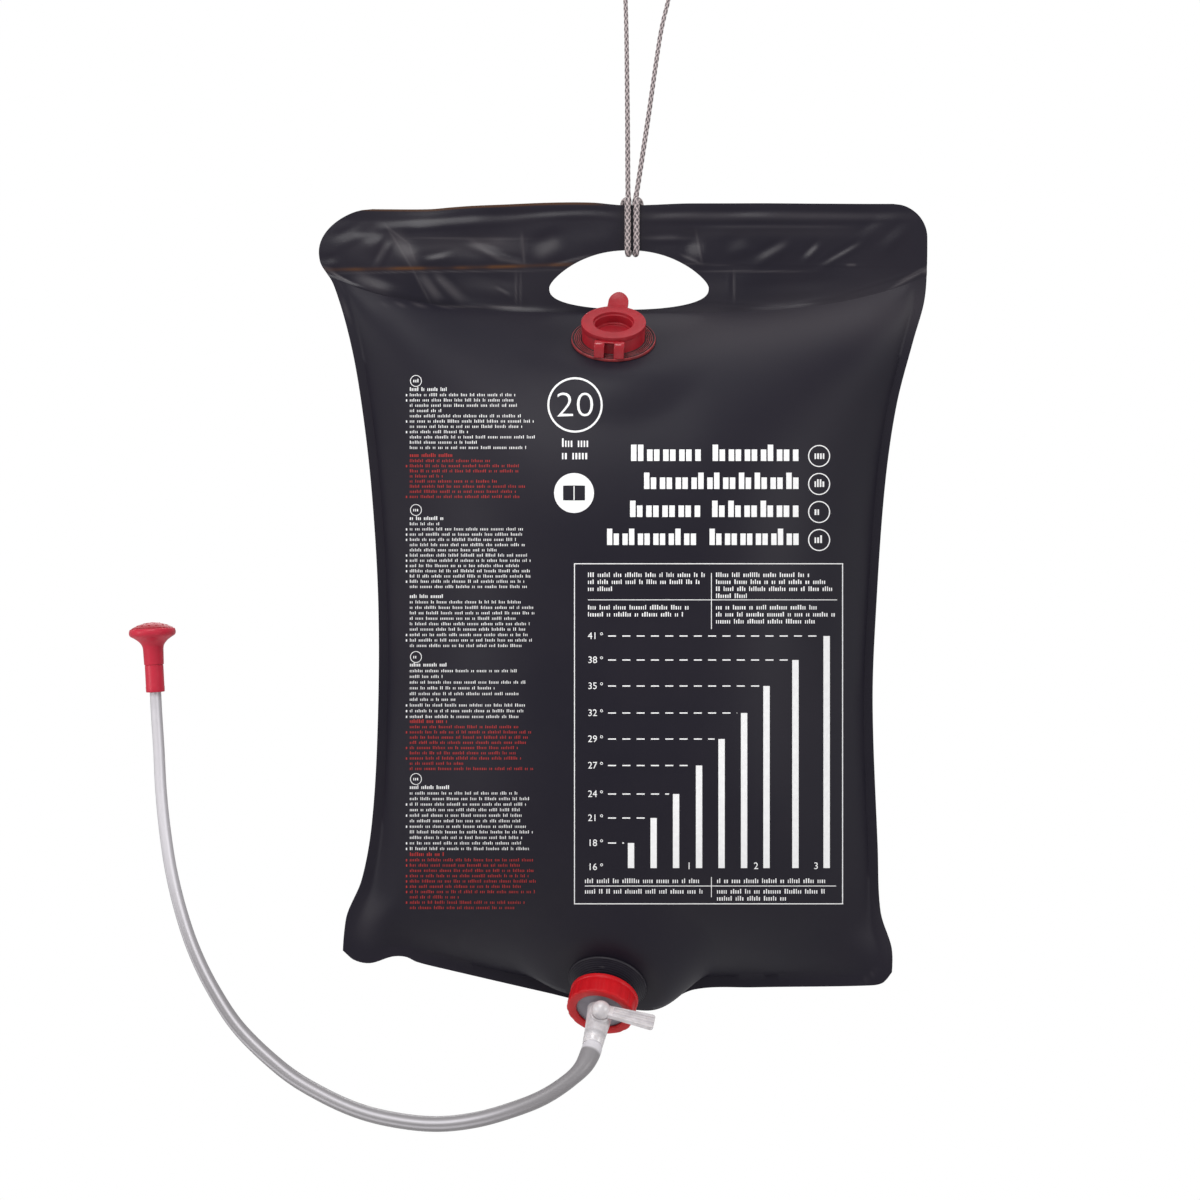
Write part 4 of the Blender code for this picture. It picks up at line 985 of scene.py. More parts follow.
    def make(self, name: str, front: bool) -> Piece:
        """Builds one film: its band and its chamber, each cut out and then joined.

        Args:
            name: The piece's name.
            front: Whether it is the printed front.

        Returns:
            The film with its slot and holes.
        """
        fewer = 0 if front else 60
        band_levels = np.linspace(0, 1, self.band_rows - fewer // 3)
        band = self.shell(name, front, self.shares(self.band_columns - 3 * fewer), band_levels)
        Bench.combine(band, self.slot_cutter(), "DIFFERENCE")
        levels = self.chamber_levels(self.chamber_rows - fewer // 3)
        chamber = self.shell(name + "_chamber", front, self.shares(self.columns - fewer), levels)
        for seat, radius in ((self.bag.filler_frame(), FILLER_HOLE), (self.bag.outlet_frame(), OUTLET_HOLE)):
            if front:
                hole = Bench.cylinder(radius, -0.008, 0.006)
                Bench.settle(hole, seat)
                Bench.combine(chamber, hole, "DIFFERENCE")
        made = Bench.joined(name, [band, chamber])
        Bench.smooth(made, 50.0)
        return made

    def slot_cutter(self) -> Piece:
        """A block with the handle slot's outline."""
        bag, steps = self.bag, 48
        across = [math.cos(math.pi * i / steps) for i in range(steps)]
        arch = [0.55 * (1 - abs(t) ** 2.2) + 0.45 * math.sqrt(1 - t * t) for t in across]
        outline = [(-bag.slot_width / 2 * t, bag.slot_rise * rise) for t, rise in zip(across, arch)]
        outline += [(bag.slot_width / 2 * t, -bag.slot_drop * (1 - t * t) ** 0.38) for t in across]
        made = Bench.prism(outline, -0.02, 0.02)
        centre = Vector((bag.slot_x, 0, bag.top - bag.slot_down))
        Bench.settle(made, frame_on(centre, TO_FRONT, TO_RIGHT))
        return made


# The printed front


LONGEST_MARK = 9


@dataclass
class Print:
    """The generic print: greeked rows, plain numbers, rings, and the warming chart."""

    film: Piece
    ink: float = 0.00012
    seed: int = 11
    tree: BVHTree | None = None

    def __post_init__(self) -> None:
        """Makes the film ready to be met by rays and seeds the row lengths."""
        mesh = self.film.data
        self.tree = BVHTree.FromPolygons([v.co for v in mesh.vertices], [p.vertices for p in mesh.polygons])
        self.chance = random.Random(self.seed)
        self.points: dict[bool, list[Vector]] = {False: [], True: []}
        self.faces: dict[bool, list[Face]] = {False: [], True: []}

    def landed(self, px: float, py: float, lift: float) -> Vector:
        """The place on the film that the front view shows at a pixel, lifted off it."""
        x, z = plane_point(px, py)
        ray = (Vector((x, 0, z)) - EYE).normalized()
        place, normal, _, _ = self.tree.ray_cast(EYE, ray)
        return place + normal * lift

    def patch(self, corners: list[Pair], red: bool = False) -> None:
        """Adds one flat mark.

        Args:
            corners: Its corners in the front view, clockwise as seen.
            red: Whether it is in the red ink.
        """
        points, faces = self.points[red], self.faces[red]
        base, count = len(points), len(corners)
        points.extend(self.landed(px, py, self.ink) for px, py in corners)
        points.extend(self.landed(px, py, -0.2 * self.ink) for px, py in corners)
        faces.append(tuple(base + count - 1 - i for i in range(count)))
        faces.append(tuple(base + count + i for i in range(count)))
        for i in range(count):
            j = (i + 1) % count
            faces.append((base + i, base + j, base + count + j, base + count + i))

    def bar(self, left: float, top: float, right: float, bottom: float, red: bool = False) -> None:
        """Adds an upright rectangle, in pieces short enough to follow the film."""
        across, down = (max(1, math.ceil(size / LONGEST_MARK)) for size in (right - left, bottom - top))
        for i in range(across):
            for j in range(down):
                x0, x1 = (left + (right - left) * k / across for k in (i, i + 1))
                y0, y1 = (top + (bottom - top) * k / down for k in (j, j + 1))
                self.patch([(x0, y0), (x1, y0), (x1, y1), (x0, y1)], red)

    def ring(self, px: float, py: float, radius: float, line: float) -> None:
        """Adds a ring of short straight pieces."""
        steps = 40
        inner, outer = (arc((px, py), (edge, edge), 0, 2 * math.pi, steps)
                        for edge in (radius - line / 2, radius + line / 2))
        for i in range(steps):
            self.patch([inner[i], outer[i], outer[i + 1], inner[i + 1]])

    def word_row(self, left: float, right: float, base: float, height: float, words: tuple[int, ...]) -> None:
        """Adds a bold row of greeked words that ends where it should.

        Args:
            left: Where the row starts.
            right: Where it ends.
            base: The line that the strokes stand on.
            height: The height of a low stroke.
            words: How many strokes each word has.
        """
        step = (right - left) / (sum(words) + 1.3 * (len(words) - 1))
        at = left
        for strokes in words:
            for i in range(strokes):
                tall = height * (1.42 if i == 0 or self.chance.random() < 0.16 else 1.0)
                self.bar(at, base - tall, at + 0.68 * step, base)
                at += step * (0.86 if i % 2 == 0 else 1.14)
            at += 1.3 * step

    def row(self, left: float, right: float, base: float, height: float, red: bool = False,
            letter: float = 0.60, pause: float = 1.10) -> None:
        """Adds a row of greeked words: plain strokes that stand for letters.

        Args:
            left: Where the row starts.
            right: Where it ends.
            base: The line that the strokes stand on.
            height: The height of a low stroke.
            red: Whether it is in the red ink.
            letter: The width of a stroke.
            pause: The space between strokes.
        """
        at = left
        while at < right - letter:
            strokes = self.chance.randint(2, 8)
            for _ in range(strokes):
                wide = letter * self.chance.uniform(0.8, 1.25)
                if at + wide > right:
                    break
                tall = height * (1.38 if self.chance.random() < 0.28 else 1.0)
                self.bar(at, base - tall, at + wide, base, red)
                at += wide + pause
            at += 1.6 * letter + pause

    def rows(self, first: float, last: float, count: int, red: bool = False, heading: bool = True) -> None:
        """Adds a block of small rows in the left column, with a heading and ragged ends."""
        left, low = 410, 2.2
        for i in range(count):
            base = first + (last - first) * i / max(count - 1, 1)
            full = self.chance.random() < 0.8
            end = self.chance.uniform(516, 536) if full else self.chance.uniform(440, 500)
            if heading and i == 0:
                self.row(left, self.chance.uniform(444, 462), base, 2.7, red, 0.85, 0.95)
            else:
                self.row(left, end, base, low, red)
                if self.chance.random() < 0.55:
                    self.bar(left - 4, base - low, left - 2.8, base, red)

    def number(self, text: str, px: float, py: float, size: float, wide: float = 1.0,
               grown: float = 0.0) -> None:
        """Adds a plain number.

        Args:
            text: Its digits.
            px: The middle of the number across.
            py: Its base line.
            size: The height of the font in pixels of the front view.
            wide: What its width is multiplied by.
            grown: How much bolder it is than the font, in pixels.
        """
        Bench.clear()
        bpy.ops.object.text_add(location=(0, 0, 0))
        made = bpy.context.object
        made.data.body = text
        made.data.align_x = "CENTER"
        made.data.size = size
        made.data.resolution_u = 4
        made.data.offset = grown
        bpy.ops.object.convert(target="MESH")
        mesh = bpy.context.object.data
        for face in mesh.polygons:
            corners = [(px + wide * mesh.vertices[i].co.x, py - mesh.vertices[i].co.y) for i in face.vertices]
            if face.normal.z > 0:
                corners.reverse()
            self.patch(corners)
        bpy.data.objects.remove(made)

    def column(self) -> None:
        """Adds the left column of four blocks, each with its ring."""
        for ring_y, first, last, count in ((381, 391, 449, 12), (510, 520, 588, 14), (657, 666.5, 718, 10),
                                           (779, 789, 850, 12)):
            self.ring(416, ring_y, 5.5, 0.6)
            self.row(413.4, 419, ring_y + 1.4, 2.5, False, 0.8, 1.1)
            self.rows(first, last, count)
        self.rows(598, 647, 10)
        for first, last, count in ((457, 498, 9), (723, 770, 10), (856, 909, 11)):
            self.rows(first, last, count, red=True)

    def heading(self) -> None:
        """Adds the number ring, the open-book disc and the four bold rows with their rings."""
        self.ring(575, 405, 26.7, 1.9)
        self.number("20", 575, 416.6, 35.5, 1.12, -0.55)
        self.row(562, 589.5, 447, 6.3, False, 1.6, 1.5)
        self.row(562, 589.5, 459.3, 6.3, False, 1.6, 1.5)
        self.book_disc(574, 493, 20)
        for left, base, words in ((631, 461, (9, 11)), (644, 489, (20,)), (630, 517, (9, 11)),
                                  (607, 545, (12, 12))):
            self.word_row(left, 802, base, 11.5, words)
            self.ring(819, base - 5, 10.5, 1.0)
            self.row(814.5, 824.5, base - 2, 5.6, False, 1.7, 1.2)

    def book_disc(self, px: float, py: float, radius: float) -> None:
        """Adds a disc with the plain shape of an open book left out of it."""
        half, tall, spine, steps = 11.0, 7.5, 1.0, 32
        outer = arc((px, py), (radius, radius), 0, 2 * math.pi, steps)
        inner = []
        for i in range(steps + 1):
            wide, high = math.cos(2 * math.pi * i / steps), math.sin(2 * math.pi * i / steps)
            reach = min(half / max(abs(wide), 1e-6), tall / max(abs(high), 1e-6))
            inner.append((px + reach * wide, py + reach * high))
        for i in range(steps):
            self.patch([inner[i], outer[i], outer[i + 1], inner[i + 1]])
        self.bar(px - spine / 2, py - 7, px + spine / 2, py + 7)

    def chart(self) -> None:
        """Adds the warming chart: its frame, plain numbers, dashes and bars."""
        for line in ((574, 563.3, 843, 564.2), (574, 903.3, 843, 904.2), (574, 563.3, 574.9, 904),
                     (842, 563.3, 842.9, 904), (588, 599.5, 837, 600.2), (711, 573, 711.7, 629),
                     (585, 885.6, 836, 886.3), (711, 877, 711.7, 897)):
            self.bar(*line)
        for left, bases, ends in ((588, (577, 584, 591), (706, 700, 612)), (588, (609.5, 616.5), (690, 683)),
                                  (716, (577, 584, 591, 598), (810, 828, 832, 748)),
                                  (716, (609.5, 616.5, 623.5), (818, 836, 815)),
                                  (585, (883,), (700,)), (585, (893.5,), (704,)), (717, (883,), (826,)),
                                  (717, (893.5, 900.5), (828, 786))):
            for base, end in zip(bases, ends):
                self.row(left, end, base, 3.3, False, 1.0, 1.2)
        heights = {41: 636, 38: 660, 35: 686, 32: 713, 29: 739, 27: 765.5, 24: 794, 21: 818, 18: 843, 16: 867}
        bars = (631, 653.6, 676, 699, 721.5, 744, 766.4, 795.3, 826.5)
        foot, half = 868, 3.15
        for step, middle in enumerate(bars):
            degrees = sorted(heights)[step + 1]
            self.bar(middle - half, heights[degrees], middle + half, foot)
        for degrees, level in heights.items():
            self.number(str(degrees), 592.5, level + 3.0, 9.6)
            self.ring(601.5, level - 2.2, 1.1, 0.6)
            step = sorted(heights).index(degrees)
            end = bars[step - 1] - 7 if step else 606
            at, dash, pitch = 608.0, 8, 14.3
            while at < end:
                self.bar(at, level - 0.6, min(at + dash, end), level + 0.6)
                at += pitch
        for text, middle in (("1", 689), ("2", 756), ("3", 816)):
            self.number(text, middle, 869, 9.6)

    def make(self) -> list[Piece]:
        """Builds every mark.

        Returns:
            The white print and the red print.
        """
        self.column()
        self.heading()
        self.chart()
        made = []
        for red, name, finish in ((False, "print_white", WHITE_INK), (True, "print_red", RED_INK)):
            piece = mesh_object(name, np.array(self.points[red]), self.faces[red])
            piece.data.shade_flat()
            paint(piece, finish)
            made.append(piece)
        return made


# Red filler


@dataclass
class Filler:
    """The welded filler: flange, neck, stopper and the tongue that ties them."""

    bag: Bag
    flange_radius: float = FILLER_FLANGE
    flange_thickness: float = 0.0016
    neck_radius: float = 0.0213
    bore_radius: float = 0.0150
    neck_height: float = 0.0110
    turned: float = math.radians(-7)
    spigot: float = 0.003
    stopper_radius: float = 0.02175
    rim: float = 0.0032
    plug_depth: float = 0.0070
    wall: float = 0.0017
    step: float = 0.0012
    tab_width: float = 0.0138
    tab_length: float = 0.0095
    tab_thickness: float = 0.0022
    tab_lift: float = math.radians(32)
    tongue_width: float = 0.020
    tongue_thickness: float = 0.0010
    strap_width: float = 0.0067
    tongue_inset: float = 0.0012
    tongue_path: tuple[Pair, ...] = ((0.00, 0.13), (0.28, 0.14), (0.50, 0.20), (0.68, 0.34), (0.84, 0.59),
                                     (1.00, 1.00))

    def neck(self) -> Piece:
        """The flange with its welded rings, bright rim and neck."""
        base, deck = GAP, GAP + self.flange_thickness
        spigot = self.bore_radius + self.wall
        outline = [(self.neck_radius, self.neck_height), (self.neck_radius, deck + 0.0003)]
        for radius in (0.0226, 0.0238, 0.0250, 0.0262):
            outline += [(radius - 0.0004, deck - 0.0003), (radius - 0.00025, deck + 0.0002),
                        (radius + 0.00025, deck + 0.0002), (radius + 0.0004, deck - 0.0003)]
        edge = self.flange_radius
        outline += [(edge - 0.0009, deck - 0.0002), (edge - 0.0006, deck + 0.0003),
                    (edge - 0.0002, deck + 0.0002), (edge, deck - 0.0003), (edge, base),
                    (spigot, base), (spigot, base - self.spigot),
                    (self.bore_radius, base - self.spigot), (self.bore_radius, self.neck_height)]
        made = Bench.spun("filler_flange", outline, 112)
        paint(made, STOPPER_RED, FLANGE_BLACK, RING_RED)
        for face in made.data.polygons:
            away, level = math.hypot(face.center.x, face.center.y), face.center.z
            if self.neck_radius + 0.0003 < away < edge - 0.0007 and level > base + 0.0009:
                face.material_index = 2 if level > deck + 0.0001 else 1
            elif away > edge - 0.0008:
                face.material_index = 2
        Bench.rounded(made, 0.0001, 2, 25)
        Bench.settle(made, self.bag.filler_frame())
        return made

    def stopper(self) -> Piece:
        """The push-in stopper: a stepped recess, a broad rim and a pull tab."""
        top = self.neck_height
        rim_low, rim_high = top + GAP, top + GAP + self.rim
        plug = self.bore_radius - RUNNING_GAP
        foot = top - self.plug_depth
        floor = foot + self.wall
        recess, drawn_in, step = plug - 0.5 * self.wall, plug - 0.0008, self.step
        outline = [
            (0, floor + 0.0003), (0.0050, floor), (recess - 2.2 * step, floor),
            (recess - 2.0 * step, floor + 0.9 * step), (recess - 1.1 * step, floor + step),
            (recess - 0.9 * step, rim_low + 0.9 * step),
            (recess - 0.2 * step, rim_low + step), (recess, rim_high),
            (self.stopper_radius, rim_high), (self.stopper_radius, rim_low), (plug, rim_low),
            (plug, rim_low - 0.4 * self.plug_depth), (drawn_in, foot), (0, foot),
        ]
        made = Bench.spun("filler_stopper", outline, 112)
        Bench.combine(made, self.tab((rim_low + rim_high) / 2), "UNION")
        Bench.rounded(made, 0.0006, 4, 30)
        Bench.settle(made, self.bag.filler_frame() @ Matrix.Rotation(self.turned, 4, "Z"))
        return made

    def tab(self, level: float) -> Piece:
        """The pull tab, bent up the slope from the rim, with a round end."""
        start, bend = self.stopper_radius - 0.004, self.stopper_radius + 0.003
        half = self.tab_width / 2
        round_end = 0.82 * half
        outline = [(-half, start), (half, start)]
        outline += arc((0, bend + self.tab_length - round_end), (half, round_end), 0, math.pi, 16)
        made = Bench.prism(outline, level - self.tab_thickness / 2, level + self.tab_thickness / 2)
        for y in (bend, bend + 0.003, bend + 0.006, bend + 0.009):
            Bench.edit(made, partial(bpy.ops.mesh.bisect, plane_co=(0, y, 0), plane_no=(0, 1, 0)))
        for point in made.data.vertices:
            share = max(point.co.y - bend, 0.0) / self.tab_length
            point.co.z += math.tan(self.tab_lift * share) * self.tab_length * share * 0.8
        return made

    def tongue(self) -> Piece:
        """The bent tongue: two straps side by side, joined at the rim and at the flange."""
        deck = GAP + self.flange_thickness + GAP
        level = self.neck_height + GAP + self.rim / 2
        inner, outer = self.stopper_radius - GAP, self.flange_radius - self.tongue_inset
        path = smooth_route([Vector((0, -inner - (outer - inner) * out, level - (level - deck) * down))
                             for out, down in self.tongue_path], 0.0005)
        strap, half = self.strap_width, self.tongue_width / 2
        across = [-half, -half + 0.35 * strap, -half + 0.7 * strap, -half + strap, 0,
                  half - strap, half - 0.7 * strap, half - 0.35 * strap, half]
        crown = [0.0, 0.00035, 0.00035, 0.0, 0.0, 0.0, 0.00035, 0.00035, 0.0]
        points, faces = [], []
        for i, place in enumerate(path):
            ahead = (path[min(i + 1, len(path) - 1)] - path[max(i - 1, 0)]).normalized()
            out = Vector((0, ahead.z, -ahead.y)) if ahead.z < 0 else Vector((0, -0.3, 1.0)).normalized()
            free = min(i / (0.22 * len(path)), 1.0)
            for x, lift in zip(across, crown):
                points.append(Vector((x, place.y + 0.00045 * (1 - free), place.z)) + out * lift * free)
        wide = len(across)
        for i in range(len(path) - 1):
            share = i / (len(path) - 1)
            for j in range(wide - 1):
                window = j in (3, 4) and share > 0.14
                if not window:
                    a = i * wide + j
                    faces.append((a, a + 1, a + wide + 1, a + wide))
        made = mesh_object("filler_tongue", np.array(points), faces)
        Bench.edit(made, bpy.ops.mesh.delete_loose)
        Bench.modify(made, "SOLIDIFY", thickness=self.tongue_thickness, offset=0.0)
        Bench.rounded(made, 0.0003, 3, 40)
        Bench.settle(made, self.bag.filler_frame() @ Matrix.Rotation(self.turned, 4, "Z"))
        return made

    def build(self) -> None:
        """Builds and places the filler's pieces."""
        finish_piece(self.neck(), "bag", Slot.RED, STOPPER_RED, "filler_neck")
        finish_piece(self.stopper(), "stopper", Slot.RED, STOPPER_RED, "stopper")
        tongue = self.tongue()
        paint(tongue, TONGUE_RED)
        seat = self.bag.filler_frame()
        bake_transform(tongue)
        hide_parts("stopper_tongue")


# Outlet and tap


@dataclass
class Outlet:
    """The welded neck, the union nut and the tap with its key."""

    bag: Bag
    flange_radius: float = OUTLET_FLANGE
    neck_radius: float = 0.0178
    bore_radius: float = 0.0130
    neck_height: float = 0.0190
    ridge_top: float = 0.0074
    ridge: float = 0.00032
    gasket: float = 0.0015
    disc: float = 0.0025
    nut_radius: float = 0.0230
    nut_height: float = 0.0150
    lip: float = 0.0020
    lip_radius: float = 0.0165
    ribs: int = 18
    rib_height: float = 0.00045
    bead: float = 0.0026
    barrel_radius: float = 0.0092
    barrel_end_radius: float = 0.0069
    barrel_length: float = 0.0240
    skirt: float = 0.0058
    skirt_bore: float = 0.0061
    barrel_bore: float = 0.0025
    key_distance: float = 0.0092
    plug_radius: float = 0.0042
    boss_radius: float = 0.0065
    boss_height: float = 0.0088
    ball_radius: float = 0.0062
    ball_height: float = 0.0123
    lever_length: float = 0.0360
    lever_root: float = 0.0072
    lever_tip: float = 0.0104
    lever_thickness: float = 0.0038
    nipple_length: float = 0.0105
    nipple_stretch: float = 1.22

    @property
    def face(self) -> float:
        """Height of the tap disc's inner face above the seat."""
        return self.neck_height + self.gasket + 2 * GAP

    def key_frame(self) -> Matrix:
        """Centre of the tap's key: Z out to the front, X along the closed lever."""
        seat = self.bag.outlet_frame()
        flow = seat.to_3x3().col[2]
        centre = seat @ Vector((0, 0, self.face + self.disc + self.key_distance))
        front = TO_FRONT + Vector((0, 0, 0.2))
        out = (front - front.dot(flow) * flow).normalized()
        return frame_on(centre, out, out.cross(flow))

    def neck(self) -> Piece:
        """The black neck with its finely ridged, conical flange."""
        base, edge, spigot, low = GAP, GAP + 0.0010, self.bore_radius + 0.0017, GAP - 0.003
        outline = [(self.neck_radius, self.neck_height), (self.neck_radius, self.ridge_top)]
        for i in range(1, 29):
            share = i / 29
            ridge = self.ridge * (1, 0.3, 0, 0.3)[i % 4]
            outline.append((self.neck_radius + (self.flange_radius - self.neck_radius) * share,
                            edge + (self.ridge_top - edge) * (1 - share) ** 1.15 + ridge))
        outline += [(self.flange_radius, edge), (self.flange_radius, base), (spigot, base),
                    (spigot, low), (self.bore_radius, low), (self.bore_radius, self.neck_height)]
        made = Bench.spun("outlet_flange", outline, 96)
        Bench.smooth(made, 60.0)
        Bench.settle(made, self.bag.outlet_frame())
        return made

    def nut(self) -> Piece:
        """The union nut: a bead at its top, broad grip ribs, and an inturned lip."""
        end = self.face + self.disc + GAP + self.lip
        start = end - self.nut_height
        bead = start + self.bead
        bore = self.neck_radius + 2 * RUNNING_GAP + 0.0002
        wall = self.nut_radius - self.rib_height
        outline = [
            (wall - 0.0006, end), (wall, end - 0.0008), (wall, end - 0.0016), (wall, end - 0.0028),
            (wall, bead + 0.0040), (wall, bead + 0.0025), (wall, bead + 0.0014), (wall, bead + 0.0005),
            (self.nut_radius, bead),
            (self.nut_radius + 0.0001, start + 0.0006), (self.nut_radius - 0.0006, start), (bore, start),
            (bore, end - self.lip), (self.lip_radius, end - self.lip), (self.lip_radius, end - 0.0007),
            (self.lip_radius + 0.0012, end),
        ]
        made = Bench.spun("union_nut", outline, self.ribs * 10)
        for point in made.data.vertices:
            radius = math.hypot(point.co.x, point.co.y)
            if radius > wall - 0.0001 and point.co.z > bead + 0.0002:
                turn = math.atan2(point.co.y, point.co.x) * self.ribs + math.pi / 6
                fade = smoothstep(bead + 0.0004, bead + 0.0030, np.array(point.co.z))
                rib = float(smoothstep(-0.95, 0.1, np.array(math.sin(turn))) * fade)
                grown = 1 + self.rib_height / radius * rib
                point.co.x *= grown
                point.co.y *= grown
        Bench.rounded(made, 0.00018, 2, 34)
        Bench.settle(made, self.bag.outlet_frame())
        return made

    def body(self) -> Piece:
        """The tap's body: disc, tapering barrel, the key's boss and the barbed nipple."""
        front = self.face + self.disc
        end = front + self.barrel_length
        tip = end + self.nipple_length
        barb = self.nipple_length / 3
        nipple = HOSE_BORE * self.nipple_stretch - RUNNING_GAP
        outline = [(nipple - 0.0009, tip)]
        for i in (2, 1):
            outline += [(nipple, end + barb * i), (nipple - 0.0005, end + barb * i - 0.0003)]
        disc = self.neck_radius + RUNNING_GAP
        outline += [(nipple - 0.0005, end), (self.barrel_end_radius, end), (self.barrel_radius, front),
                    (disc, front), (disc, self.face), (self.barrel_bore, self.face), (self.barrel_bore, tip)]
        made = Bench.spun("tap_barrel", outline, 72)
        key, seat = self.key_frame(), self.bag.outlet_frame()
        Bench.settle(made, seat)
        boss = Bench.cylinder(self.boss_radius, -self.boss_height, self.boss_height, 56)
        Bench.settle(boss, key)
        Bench.combine(made, boss, "UNION")
        hole = Bench.cylinder(self.plug_radius + GAP, -0.02, 0.02, 48)
        Bench.settle(hole, key)
        Bench.combine(made, hole, "DIFFERENCE")
        Bench.moulded(made, 0.00032, 3)
        paint(made, TAP_WHITE, TAP_GREY)
        inverse = seat.inverted()
        # The disc's faces inside the nut take the grey finish: painted shade, and the dark neck showing
        # through the thin moulding.
        for face in made.data.polygons:
            if (inverse @ face.center).z < front + 0.0004:
                face.material_index = 1
        slimmer = (self.barrel_radius - self.barrel_end_radius) / self.barrel_length
        overlap = 0.0030
        low, high = end - overlap, end + self.skirt
        outside = self.barrel_end_radius - 0.3 * self.skirt * slimmer
        skirt = Bench.spun("tap_skirt", [
            (self.barrel_end_radius + overlap * slimmer + 0.00004, low), (outside, high - 0.0005),
            (outside - 0.0004, high), (self.skirt_bore, high), (self.skirt_bore, low)], 72)
        Bench.smooth(skirt)
        paint(skirt, TAP_WHITE)
        Bench.settle(skirt, seat)
        return Bench.joined("tap_barrel", [made, skirt])

    def key(self) -> Piece:
        """The key: its plug, ball head and grooved lever."""
        seat = self.boss_height + GAP
        start = math.asin((seat - self.ball_height) / self.ball_radius)
        ball = arc((0, self.ball_height), (self.ball_radius, self.ball_radius), math.pi / 2, start, 16)
        outline = [(0, self.ball_height + self.ball_radius)] + ball[1:]
        outline += [(self.plug_radius, seat), (self.plug_radius, -seat), (self.plug_radius + 0.0008, -seat),
                    (self.plug_radius, -seat - 0.0012), (0, -seat - 0.0012)]
        made = Bench.spun("tap_lever", outline, 64)
        low = self.ball_height - self.lever_thickness / 2
        half = self.lever_tip / 2
        shape, corner = [(self.ball_radius * 0.3, -self.lever_root / 2)], 0.0020
        for middle, first in ((-1, -math.pi / 2), (1, 0)):
            centre = (self.lever_length - corner, middle * (half - corner))
            shape += arc(centre, (corner, corner), first, first + math.pi / 2, 8)
        shape.append((self.ball_radius * 0.3, self.lever_root / 2))
        lever = Bench.prism(shape, low, low + self.lever_thickness)
        for side in (-0.27, 0.27):
            groove = Bench.cylinder(self.lever_root * 0.17, self.ball_radius + 0.002,
                                    self.lever_length + 0.001, 20)
            Bench.settle(groove, Matrix.Rotation(math.radians(90), 4, "Y") @ Matrix.Translation(
                (-low - self.lever_thickness, side * self.lever_root, 0)))
            Bench.combine(lever, groove, "DIFFERENCE")
        Bench.combine(made, lever, "UNION")
        Bench.settle(made, self.key_frame())
        Bench.moulded(made, 0.00026, 3)
        return made

    def build(self) -> None:
        """Builds and places the outlet's pieces."""
        finish_piece(self.neck(), "bag", Slot.BLACK, NECK_BLACK, "outlet_neck")
        finish_piece(self.nut(), "union_nut", Slot.RED, NUT_RED, "outlet_nut")
        finish_piece(self.body(), "tap", Slot.NATURAL, TAP_WHITE, "tap_body")
        finish_piece(self.key(), "key", Slot.NATURAL, TAP_WHITE, "tap_key")


# Tubes and cords


def tube_rings(route: list[Vector], sides: int) -> tuple[Array, Array, Array]:
    """Rings round a route whose sides don't twist.

    Args:
        route: The centreline.
        sides: Points round each ring.

    Returns:
        The centres, the outward directions of each ring's points, and how far along each ring lies.
    """
    centres = np.array([tuple(p) for p in route])
    ahead = np.gradient(centres, axis=0)
    ahead /= np.linalg.norm(ahead, axis=1)[:, None]
    side = np.cross(ahead[0], (0.0, 1.0, 0.3))
    side /= np.linalg.norm(side)
    turns = 2 * np.pi * np.arange(sides) / sides
    outward = []
    for direction in ahead:
        side = side - direction * side.dot(direction)
        side /= np.linalg.norm(side)
        other = np.cross(direction, side)
        outward.append(np.cos(turns)[:, None] * side + np.sin(turns)[:, None] * other)
    run = np.concatenate([[0.0], np.cumsum(np.linalg.norm(np.diff(centres, axis=0), axis=1))])
    return centres, np.array(outward), run


def ring_faces(first: int, rings: int, sides: int, inward: bool = False) -> list[Face]:
    """Faces between neighbouring rings of points."""
    faces = []
    for i in range(rings - 1):
        for j in range(sides):
            a, b = first + i * sides + j, first + i * sides + (j + 1) % sides
            face = (a, b, b + sides, a + sides)
            faces.append(face[::-1] if inward else face)
    return faces


@dataclass
class Braid:
    """A round braided cord: strands that cross over and under each other."""

    radius: float = 0.0018
    strands: int = 4
    pitch: float = 0.0094
    depth: float = 0.00050
    sides: int = 32

    def tube(self, name: str, route: list[Vector], swell: Array | float = 1.0) -> Piece:
        """Builds the cord along a route.

        Args:
            name: The piece's name.
            route: The centreline, in short steps.
            swell: What each ring's radius is multiplied by.

        Returns:
            The cord as a closed tube with a mask of painted shade in its crevices.
        """
        centres, outward, run = tube_rings(route, self.sides)
        around = np.arange(self.sides) / self.sides * self.strands
        one = around[None, :] + run[:, None] / self.pitch * 2
        two = around[None, :] - run[:, None] / self.pitch * 2
        middle, sway = 0.78, 0.22
        one, two = np.cos(np.pi * one), np.cos(np.pi * two)
        over = sway * (one * two)
        height = np.maximum(np.abs(one) * (middle + over), np.abs(two) * (middle - over))
        radius = (self.radius * np.broadcast_to(swell, run.shape))[:, None] - self.depth * (middle - height)
        points = (centres[:, None, :] + outward * radius[:, :, None]).reshape(-1, 3)
        faces = ring_faces(0, len(run), self.sides)
        ends = np.array([centres[0], centres[-1]])
        points = np.concatenate([points, ends])
        last = (len(run) - 1) * self.sides
        for j in range(self.sides):
            k = (j + 1) % self.sides
            faces.append((len(points) - 2, k, j))
            faces.append((len(points) - 1, last + j, last + k))
        made = mesh_object(name, points, faces)
        # Painted shade: darkest where the strands dip under each other.
        painted_crevice_shade = np.concatenate([1 - smoothstep(0.50, 0.90, height).ravel(), [0.0, 0.0]])
        set_attribute(made, "painted_crevice_shade", painted_crevice_shade)
        return made


